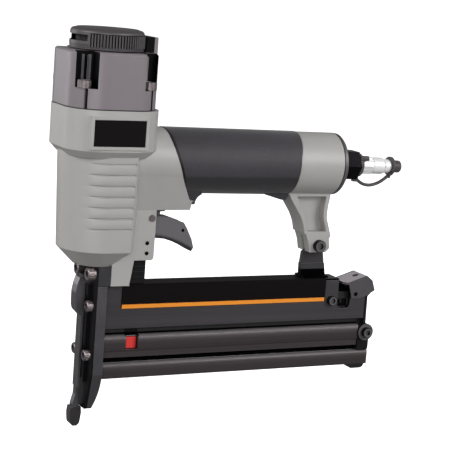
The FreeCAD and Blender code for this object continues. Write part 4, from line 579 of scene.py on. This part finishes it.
def moulded(name, colour, roughness, edge, specular=0.3):
    """Hard moulded plastic with a spark-eroded texture."""
    part = Finish(name)
    pits = part.noise(1900.0, 2.0, 0.55)
    cloud = part.noise(35.0, 3.0, 0.5)
    part.set(base=part.shades(colour, 0.10, cloud), metallic=0.0, specular=specular,
             roughness=roughness + 0.10 * (pits - 0.5))
    part.relief(pits, 0.00004, edge)
    return part


def film(name, colour, roughness, specular=0.08):
    """A smooth printed film, with a faint waviness."""
    skin = Finish(name)
    wave = skin.noise(55.0, 2.0, 0.4)
    dust = skin.noise(1800.0, 1.0, 0.5)
    skin.set(base=skin.shades(colour, 0.06, dust), metallic=0.0, specular=specular,
             roughness=roughness + 0.06 * (wave - 0.5))
    skin.relief(wave, 0.00004)
    return skin


def foam(name, colour):
    """Open foam, pitted right through."""
    cells = Finish(name)
    holes = cells.node("ShaderNodeTexVoronoi", None,
                       {"Vector": cells.place, "Scale": 900.0})
    cells.set(base=cells.shades(colour, 0.5, holes), roughness=0.9, metallic=0.0)
    cells.relief(holes, 0.0004)
    return cells


def make_finishes(colours, edge):
    """Every finish of the tool, by its slot in the record or its own name."""
    fine, small = edge * 0.6, edge * 0.4
    made = (
        enamel("grey_casting", colours.casting, 0.46, 850.0, edge, form=groove_swell),
        head_enamel(colours.head, edge),
        deflector_enamel(colours.deflector, fine),
        screw_steel("light_steel", (0.25, 0.215, 0.22), small),
        screw_steel("worn_steel", (0.16, 0.135, 0.14), small),
        steel("black_steel", (0.008, 0.007, 0.009), 0.24, small, metallic=0.7,
              specular=0.15),
        steel("tool_steel", (0.190, 0.182, 0.195), 0.36, small),
        steel("dark_steel", (0.035, 0.033, 0.036), 0.34, small),
        steel("plate_grey", (0.115, 0.108, 0.115), 0.40, small, metallic=0.3),
        turned("spring_steel", (0.30, 0.30, 0.31), 0.28, 0.0),
        steel("nose_alloy", (0.060, 0.058, 0.065), 0.40, small, metallic=0.6),
        slide_skin(colours.slide, fine),
        magazine_skin(colours.magazine, fine),
        bolt_steel(small),
        lever_steel(small),
        bracket_steel(small),
        film("label_black", colours.film, 0.45),
        film("stripe_orange", colours.stripe, 0.4, 0.3),
        moulded("signal_red", colours.signal, 0.40, small, specular=0.5),
        moulded("black_plastic", (0.007, 0.007, 0.008), 0.42, fine, specular=0.2),
        rubber("rubber_black", (0.009, 0.008, 0.009), 0.5, fine),
        rubber("pad_rubber", (0.024, 0.022, 0.023), 0.5, fine, sheen=0.1),
        rubber("cover_rubber", (0.070, 0.062, 0.064), 0.45, fine, sheen=0.15),
        grip_skin(colours.grip, fine),
        foam("filter_foam", (0.012, 0.012, 0.012)),
        trigger_enamel(colours.trigger, fine),
        # painted reflection: the plated plug is given a near-white diffuse base with little
        # metal, for the white room it mirrors
        turned("chrome_plug", (0.95, 0.95, 0.95), 0.30, small, 0.2))
    return {finish.name: finish.material for finish in made}


FINISHES = {}
OWN_FINISH = {
    "magazine_housing": "magazine_skin", "latch_lever": "latch_finish",
    "rear_bracket": "bracket_finish", "nose_front_plate": "dark_steel",
    "no_mar_tip": "pad_rubber",
    "slide_end_bolt": "bolt_finish", "leg_bolt": "bolt_finish", "magazine_bolt": "bolt_finish",
    "end_cap": "plate_grey", "dust_cap": "cover_rubber", "tether_ring": "cover_rubber",
    "tether_strap": "cover_rubber"}


def wear_finishes(scene):
    """Give every carried-over node of the frame the finish of its slot."""
    if not FINISHES:
        FINISHES.update(make_finishes(scene.nail_gun_colours, scene.nail_gun_sizes.edge))
    for part in frame["record"]["subparts"]:
        finish = OWN_FINISH.get(part["node"], part["material_slot"])
        for slot in NODES[part["node"]].material_slots:
            slot.material = FINISHES[finish]


# ---------------------------------------------------------------- pieces from node trees
def shown(name, data):
    """A new object in the scene for a mesh, curve, light or camera."""
    made = bpy.data.objects.new(name, data)
    bpy.context.scene.collection.objects.link(made)
    return made


def riding_piece(name, mesh, body):
    """A finished piece that rides on a body, from a mesh that is already in its place."""
    piece = shown(name, mesh)
    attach(piece, body)
    return piece


def bending_piece(node, mesh):
    """A finished piece in a node's stead, with its place baked into its mesh; the node is hidden.
    """
    piece = shown(mesh.name, mesh)
    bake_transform(piece)
    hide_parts(node)
    return piece


def sockets_of(tree):
    """The identifier of each input of a node tree, by its name."""
    return {item.name: item.identifier for item in tree.interface.items_tree
            if item.item_type == "SOCKET" and item.in_out == "INPUT"}


class Tree:
    """A geometry node tree while it is made, with named inputs."""

    def __init__(self, name, inputs):
        self.tree = bpy.data.node_groups.new(name, "GeometryNodeTree")
        self.tree.is_modifier = True
        face = self.tree.interface
        face.new_socket("Geometry", in_out="INPUT", socket_type="NodeSocketGeometry")
        face.new_socket("Geometry", in_out="OUTPUT", socket_type="NodeSocketGeometry")
        for label, (kind, value) in inputs.items():
            socket = face.new_socket(label, in_out="INPUT", socket_type="NodeSocket" + kind)
            if value is not None:
                socket.default_value = value
        self.start = self.tree.nodes.new("NodeGroupInput")
        self.end = self.tree.nodes.new("NodeGroupOutput")

    def given(self, label):
        return self.start.outputs[label]

    def node(self, kind, settings=None, sockets=None, out=0):
        made = self.tree.nodes.new(kind)
        for name, setting in (settings or {}).items():
            setattr(made, name, setting)
        for name, value in (sockets or {}).items():
            if isinstance(value, bpy.types.NodeSocket):
                self.tree.links.new(value, made.inputs[name])
            else:
                made.inputs[name].default_value = value
        return made.outputs[out]

    def maths(self, operation, first, second=0.0):
        return self.node("ShaderNodeMath", {"operation": operation},
                         {0: first, 1: second})

    def finish(self, geometry):
        """End in Realize Instances and Set Material."""
        real = self.node("GeometryNodeRealizeInstances", None, {"Geometry": geometry})
        worn = self.node("GeometryNodeSetMaterial", None,
                         {"Geometry": real, "Material": self.given("Material")})
        self.tree.links.new(worn, self.end.inputs[0])
        return self.tree


def grown(name, tree, values, place=None):
    """The plain mesh that a node tree makes from these inputs, moved to its place."""
    holder = shown(name + "_holder", bpy.data.meshes.new(name + "_seed"))
    modifier = holder.modifiers.new("tree", "NODES")
    modifier.node_group = tree
    names = sockets_of(tree)
    for label, value in values.items():
        modifier[names[label]] = value
    holder.update_tag()
    bpy.context.view_layer.update()
    ready = holder.evaluated_get(bpy.context.evaluated_depsgraph_get())
    mesh = bpy.data.meshes.new_from_object(ready)
    mesh.name = name
    bpy.data.objects.remove(holder)
    if place is not None:
        mesh.transform(place)
    if not mesh.polygons:
        raise RuntimeError(f"{name}: the node tree made no faces")
    return mesh


def ring_tree():
    """Upright ribs with round faces, set side by side round a ring."""
    tree = Tree("ribs_round_a_ring", {
        "Count": ("Int", 60), "Share": ("Float", 1.0), "Start": ("Float", 0.0),
        "Radius": ("Float", 0.02), "Rib radius": ("Float", 0.0005),
        "Low": ("Float", 0.0), "High": ("Float", 0.01), "Faces": ("Int", 8),
        "Material": ("Material", None)})
    tall = tree.maths("SUBTRACT", tree.given("High"), tree.given("Low"))
    rib = tree.node("GeometryNodeMeshCylinder", {"fill_type": "NGON"},
                    {"Vertices": tree.given("Faces"), "Side Segments": 1,
                     "Radius": tree.given("Rib radius"), "Depth": tall})
    middle = tree.maths("MULTIPLY", tree.maths("ADD", tree.given("High"),
                                               tree.given("Low")), 0.5)
    number = tree.node("GeometryNodeInputIndex")
    step = tree.maths("DIVIDE", tree.maths("MULTIPLY", tree.given("Share"), math.tau),
                      tree.given("Count"))
    angle = tree.maths("ADD", tree.maths("MULTIPLY", number, step), tree.given("Start"))
    across = tree.maths("MULTIPLY", tree.maths("COSINE", angle), tree.given("Radius"))
    along = tree.maths("MULTIPLY", tree.maths("SINE", angle), tree.given("Radius"))
    spot = tree.node("ShaderNodeCombineXYZ", None, {0: across, 1: along, 2: middle})
    points = tree.node("GeometryNodePoints", None,
                       {"Count": tree.given("Count"), "Position": spot})
    turned_by = tree.node("ShaderNodeCombineXYZ", None, {2: angle})
    ribs = tree.node("GeometryNodeInstanceOnPoints", None,
                     {"Points": points, "Instance": rib, "Rotation": turned_by})
    return tree.finish(ribs)


def soften(mesh, angle=35.0):
    """Smooth shading with creases sharper than the angle, in degrees."""
    work = bmesh.new()
    work.from_mesh(mesh)
    bmesh.ops.remove_doubles(work, verts=work.verts, dist=MERGE_DISTANCE)
    bmesh.ops.recalc_face_normals(work, faces=work.faces)
    for face in work.faces:
        face.smooth = True
    for edge in work.edges:
        edge.smooth = len(edge.link_faces) == 2 and \
            edge.calc_face_angle(0.0) < math.radians(angle)
    work.to_mesh(mesh)
    work.free()
    return mesh


def deflector_ribs(scene):
    """The serrations round the exhaust deflector, all but across its window."""
    sizes = scene.nail_gun_sizes
    low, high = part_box("exhaust_deflector")
    mesh = grown("deflector_serrations", ring_tree(), {
        "Count": int(sizes.rib_count * SERRATED_SHARE), "Share": SERRATED_SHARE,
        "Start": math.pi * (2 - SERRATED_SHARE), "Radius": SERRATION_REACH - sizes.rib_height,
        "Rib radius": sizes.rib_height, "Low": low.z + SERRATION_LOW,
        "High": high.z - SERRATION_HIGH, "Faces": 8,
        "Material": FINISHES["deflector_finish"]})
    return riding_piece("deflector_serrations", soften(mesh), "deflector")


def lone_parts(node):
    """The box of each separate solid of a frame's node, as its two corners."""
    work = bmesh.new()
    work.from_mesh(node.data)
    bmesh.ops.remove_doubles(work, verts=work.verts, dist=MERGE_DISTANCE)
    work.verts.ensure_lookup_table()
    left, boxes = set(work.verts), []
    while left:
        group, queue = [], [left.pop()]
        while queue:
            vert = queue.pop()
            group.append(vert.co.copy())
            for edge in vert.link_edges:
                other = edge.other_vert(vert)
                if other in left:
                    left.remove(other)
                    queue.append(other)
        boxes.append((Vector(map(min, zip(*group))), Vector(map(max, zip(*group)))))
    work.free()
    return boxes


def knurl(name, node, axis, height, count):
    """Ridges round the heads of a node's screws; the axis points out of the heads."""
    tree = bpy.data.node_groups.get("ribs_round_a_ring") or ring_tree()
    work = bmesh.new()
    axis = Vector(axis)
    turn = Vector((0, 0, 1)).rotation_difference(axis).to_matrix().to_4x4()
    along = max(range(3), key=lambda i: abs(axis[i]))
    for low, high in lone_parts(NODES[node]):
        spot = (low + high) / 2
        spot[along] = high[along] if axis[along] > 0 else low[along]
        radius = min(high[i] - low[i] for i in range(3) if i != along) / 2
        mesh = grown(name, tree, {
            "Count": count, "Share": 1.0, "Start": 0.0, "Radius": radius - KNURL_SUNK,
            "Rib radius": KNURL_RIDGE, "Low": -height, "High": -KNURL_TOP, "Faces": 6,
            "Material": FINISHES["light_steel"]}, Matrix.Translation(spot) @ turn)
        work.from_mesh(mesh)
        bpy.data.meshes.remove(mesh)
    joined = bpy.data.meshes.new(name)
    work.to_mesh(joined)
    work.free()
    joined.materials.append(FINISHES["light_steel"])
    return riding_piece(name, joined, "root")


def coil_tree():
    """A coil of round wire that rises from the origin."""
    tree = Tree("coil", {
        "Turns": ("Float", 5.0), "Radius": ("Float", 0.002), "Wire": ("Float", 0.0002),
        "Height": ("Float", 0.01), "Steps": ("Int", 24), "Faces": ("Int", 8),
        "Material": ("Material", None)})
    line = tree.node("GeometryNodeCurveSpiral", None, {
        "Resolution": tree.given("Steps"), "Rotations": tree.given("Turns"),
        "Start Radius": tree.given("Radius"), "End Radius": tree.given("Radius"),
        "Height": tree.given("Height")})
    ring = tree.node("GeometryNodeCurvePrimitiveCircle", {"mode": "RADIUS"}, {
        "Resolution": tree.given("Faces"), "Radius": tree.given("Wire")})
    return tree.finish(tree.node("GeometryNodeCurveToMesh", None, {
        "Curve": line, "Profile Curve": ring, "Fill Caps": True}))


def spring_piece(node, wire, turns, axis=2):
    """A coil spring that fills a spring node's box along one axis, in the node's stead."""
    tree = bpy.data.node_groups.get("coil") or coil_tree()
    low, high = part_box(node)
    side = (axis + 1) % 3
    start, end = (low + high) / 2, (low + high) / 2
    start[axis], end[axis] = low[axis] + wire, high[axis] - wire
    turn = Vector((0, 0, 1)).rotation_difference(end - start).to_matrix().to_4x4()
    mesh = grown(node.replace("spring", "coil"), tree, {
        "Turns": turns, "Radius": (high[side] - low[side]) / 2 - wire, "Wire": wire,
        "Height": end[axis] - start[axis], "Steps": 24, "Faces": 8,
        "Material": FINISHES["spring_steel"]}, Matrix.Translation(start) @ turn)
    return bending_piece(node, soften(mesh, 60.0))


# ---------------------------------------------------------------- the dust cap's strap
def smooth_line(name, places):
    """The points of a smooth curve that has these places as its control points."""
    curve = bpy.data.curves.new(name, "CURVE")
    curve.dimensions = "3D"
    line = curve.splines.new("NURBS")
    line.points.add(len(places) - 1)
    for point, place in zip(line.points, places):
        point.co = (*place, 1.0)
    line.order_u, line.use_endpoint_u, line.resolution_u = 4, True, 6
    holder = shown(name + "_holder", curve)
    bpy.context.view_layer.update()
    drawn = bpy.data.meshes.new_from_object(
        holder.evaluated_get(bpy.context.evaluated_depsgraph_get()))
    bpy.data.objects.remove(holder)
    return [vert.co.copy() for vert in drawn.vertices]


def strap_ring(work, middle, i, wide, thin):
    """One oval ring of the strap, square to its line."""
    ahead = (middle[min(i + 1, len(middle) - 1)] - middle[max(i - 1, 0)]).normalized()
    side = Vector((0, 1, 0))
    up = side.cross(ahead).normalized()
    angles = [math.tau * k / STRAP_SIDES for k in range(STRAP_SIDES)]
    return [work.verts.new(middle[i] + side * math.cos(angle) * wide
                           + up * math.sin(angle) * thin) for angle in angles]


def strap_piece(scene):
    """The moulded strap that hangs in a bow from the bushing's ring to the dust cap."""
    wide = scene.nail_gun_sizes.strap / 2
    middle = smooth_line("strap_line", STRAP_LINE)
    work = bmesh.new()
    rings = [strap_ring(work, middle, i, wide, wide * STRAP_FLATNESS)
             for i in range(len(middle))]
    for first, second in zip(rings, rings[1:]):
        for k in range(STRAP_SIDES):
            after = (k + 1) % STRAP_SIDES
            work.faces.new((first[k], first[after], second[after], second[k]))
    work.faces.new(rings[0][::-1])
    work.faces.new(rings[-1])
    bmesh.ops.recalc_face_normals(work, faces=work.faces)
    for face in work.faces:
        face.smooth = True
    mesh = bpy.data.meshes.new("dust_cap_strap")
    work.to_mesh(mesh)
    work.free()
    mesh.materials.append(FINISHES["cover_rubber"])
    return bending_piece("tether_strap", mesh)


# ---------------------------------------------------------------- stage
# each light's turn to the right of the camera and its height as an angle, both in degrees
# as seen from the tool, and its share of the key light's power
STUDIO_LIGHTS = (
    ("left_box", -60.0, 25.0, 0.92), ("right_box", 60.0, 25.0, 1.0),
    ("front_box", 0.0, 12.0, 0.59), ("far_left_box", -115.0, 10.0, 0.30),
    ("far_right_box", 115.0, 20.0, 0.09))
LIGHT_SIZE, LIGHT_REACH, LIGHT_AIM = 0.9, 1.7, Vector((0.09, 0.0, 0.13))
STAGE_RADIUS, STAGE_SIDES, FLOOR_HEIGHT = 15.0, 96, -0.0015
NEAREST, FARTHEST = 0.05, 200.0


def ahead_of(turn, pitch):
    """The way that something faces after a turn round the tool, looking down by a pitch."""
    return Vector((math.sin(turn) * math.cos(pitch), math.cos(turn) * math.cos(pitch),
                   -math.sin(pitch)))


def area_light(name, turn, pitch, power):
    """A soft square light that faces the tool and isn't seen itself."""
    data = bpy.data.lights.new(name, "AREA")
    data.shape, data.size, data.energy = "SQUARE", LIGHT_SIZE, power
    light = shown(name, data)
    ahead = ahead_of(turn, pitch)
    light.location = LIGHT_AIM - ahead * LIGHT_REACH
    light.rotation_euler = ahead.to_track_quat("-Z", "Y").to_euler()
    light.visible_camera = False


def stage_piece(name, work, height, paper):
    """A piece of the stage, raised to its height, that lights nothing."""
    for vert in work.verts:
        vert.co.z += height
    mesh = bpy.data.meshes.new(name)
    work.to_mesh(mesh)
    work.free()
    mesh.materials.append(paper.material)
    piece = shown(name, mesh)
    piece.visible_diffuse = piece.visible_glossy = False
    return piece


def paper_stage(colour):
    """A wide pale floor under the tool, and a pale wall far round it."""
    paper = Finish("paper")
    paper.set(base=paper.shades(colour, 0.01, paper.noise(4.0)), roughness=0.85,
              metallic=0.0, specular=0.2, glow=(1.0, 1.0, 1.0, 1.0), glow_strength=0.95)
    work = bmesh.new()
    bmesh.ops.create_circle(work, cap_ends=True, segments=STAGE_SIDES, radius=STAGE_RADIUS)
    stage_piece("paper_floor", work, FLOOR_HEIGHT, paper)
    work = bmesh.new()
    bmesh.ops.create_cone(work, segments=STAGE_SIDES, radius1=STAGE_RADIUS,
                          radius2=STAGE_RADIUS, depth=STAGE_RADIUS)
    stage_piece("paper_wall", work, STAGE_RADIUS / 2, paper).visible_shadow = False


def soft_world(strength):
    """Even white light from all round."""
    world = bpy.data.worlds.new("soft_room")
    world.use_nodes = True
    back = world.node_tree.nodes["Background"]
    back.inputs["Color"].default_value = (1.0, 1.0, 1.0, 1.0)
    back.inputs["Strength"].default_value = strength
    bpy.context.scene.world = world


def stand_camera(studio):
    """The camera, rolled about its own axis."""
    ahead = ahead_of(studio.turn, studio.pitch)
    level = ahead.cross(Vector((0, 0, 1))).normalized()
    upright = level.cross(ahead)
    right = level * math.cos(studio.roll) + upright * math.sin(studio.roll)
    up = upright * math.cos(studio.roll) - level * math.sin(studio.roll)
    data = bpy.data.cameras.new("camera")
    data.lens, data.clip_start, data.clip_end = studio.lens, NEAREST, FARTHEST
    camera = shown("camera", data)
    axes = Matrix((right, up, -ahead)).transposed().to_4x4()
    place = Vector(studio.aim) - ahead * studio.reach
    camera.matrix_world = Matrix.Translation(place) @ axes
    bpy.context.scene.camera = camera


# ---------------------------------------------------------------- operators
class NAILGUN_OT_stage(bpy.types.Operator):
    """Set up the floor, the soft lights and the camera"""
    bl_idname = "nailgun.stage"
    bl_label = "Stage"

    def execute(self, context):
        studio = context.scene.nail_gun_studio
        paper_stage(studio.paper)
        soft_world(studio.room)
        for name, turn, height, share in STUDIO_LIGHTS:
            area_light(name, studio.turn - math.radians(turn), math.radians(height),
                       studio.key * share)
        stand_camera(studio)
        context.scene.view_settings.view_transform = "Standard"
        return {"FINISHED"}


class NAILGUN_OT_finishes(bpy.types.Operator):
    """Make the finishes and give them to the frame's nodes"""
    bl_idname = "nailgun.finishes"
    bl_label = "Finishes"

    def execute(self, context):
        wear_finishes(context.scene)
        return {"FINISHED"}


class NAILGUN_OT_deflector(bpy.types.Operator):
    """Add the serrations of the exhaust deflector"""
    bl_idname = "nailgun.deflector"
    bl_label = "Deflector Serrations"

    def execute(self, context):
        deflector_ribs(context.scene)
        return {"FINISHED"}


class NAILGUN_OT_knurls(bpy.types.Operator):
    """Add the knurled heads of the cap's and the nose's screws"""
    bl_idname = "nailgun.knurls"
    bl_label = "Screw Knurls"

    def execute(self, context):
        count = context.scene.nail_gun_sizes.knurl_count
        knurl("cap_screw_knurls", "cap_screws", (0, 0, 1), 0.0042, count)
        knurl("nose_top_knurls", "nose_top_screws", (-1, 0, 0), 0.0042, count)
        knurl("nose_plate_knurls", "nose_plate_screws", (-1, 0, 0), 0.0032, count)
        return {"FINISHED"}


class NAILGUN_OT_springs(bpy.types.Operator):
    """Add coil springs in the stead of the springs' nodes"""
    bl_idname = "nailgun.springs"
    bl_label = "Springs"

    def execute(self, context):
        spring_piece("head_valve_spring", 0.0009, 2.5)
        spring_piece("safety_spring", 0.00025, 5.0)
        spring_piece("valve_spring", 0.00025, 4.0)
        spring_piece("pusher_spring", 0.00035, 26.0, 0)
        return {"FINISHED"}


class NAILGUN_OT_strap(bpy.types.Operator):
    """Add the dust cap's strap"""
    bl_idname = "nailgun.strap"
    bl_label = "Dust Cap Strap"

    def execute(self, context):
        strap_piece(context.scene)
        return {"FINISHED"}


OPERATORS = (NAILGUN_OT_stage, NAILGUN_OT_finishes, NAILGUN_OT_deflector,
             NAILGUN_OT_knurls, NAILGUN_OT_springs, NAILGUN_OT_strap)


class NAILGUN_PT_panel(bpy.types.Panel):
    """The tool's pieces and settings"""
    bl_idname = "NAILGUN_PT_panel"
    bl_label = "Pneumatic Nail Gun"
    bl_space_type = "VIEW_3D"
    bl_region_type = "UI"
    bl_category = "Nail Gun"

    def draw(self, context):
        for group in ("nail_gun_colours", "nail_gun_sizes", "nail_gun_studio"):
            box = self.layout.box()
            settings = getattr(context.scene, group)
            for name in settings.__annotations__:
                box.prop(settings, name)
        for operator in OPERATORS:
            self.layout.operator(operator.bl_idname)


GROUPS = {"nail_gun_colours": NailGunColours, "nail_gun_sizes": NailGunSizes,
          "nail_gun_studio": NailGunStudio}


def register():
    for kind in (*GROUPS.values(), *OPERATORS, NAILGUN_PT_panel):
        bpy.utils.register_class(kind)
    for name, kind in GROUPS.items():
        setattr(bpy.types.Scene, name, PointerProperty(type=kind))


def unregister():
    for name in GROUPS:
        delattr(bpy.types.Scene, name)
    for kind in reversed((*GROUPS.values(), *OPERATORS, NAILGUN_PT_panel)):
        bpy.utils.unregister_class(kind)


def main():
    """Build the tool's looks."""
    register()
    for operator in OPERATORS:
        group, name = operator.bl_idname.split(".")
        getattr(getattr(bpy.ops, group), name)()


if __name__ == "__main__":
    main()
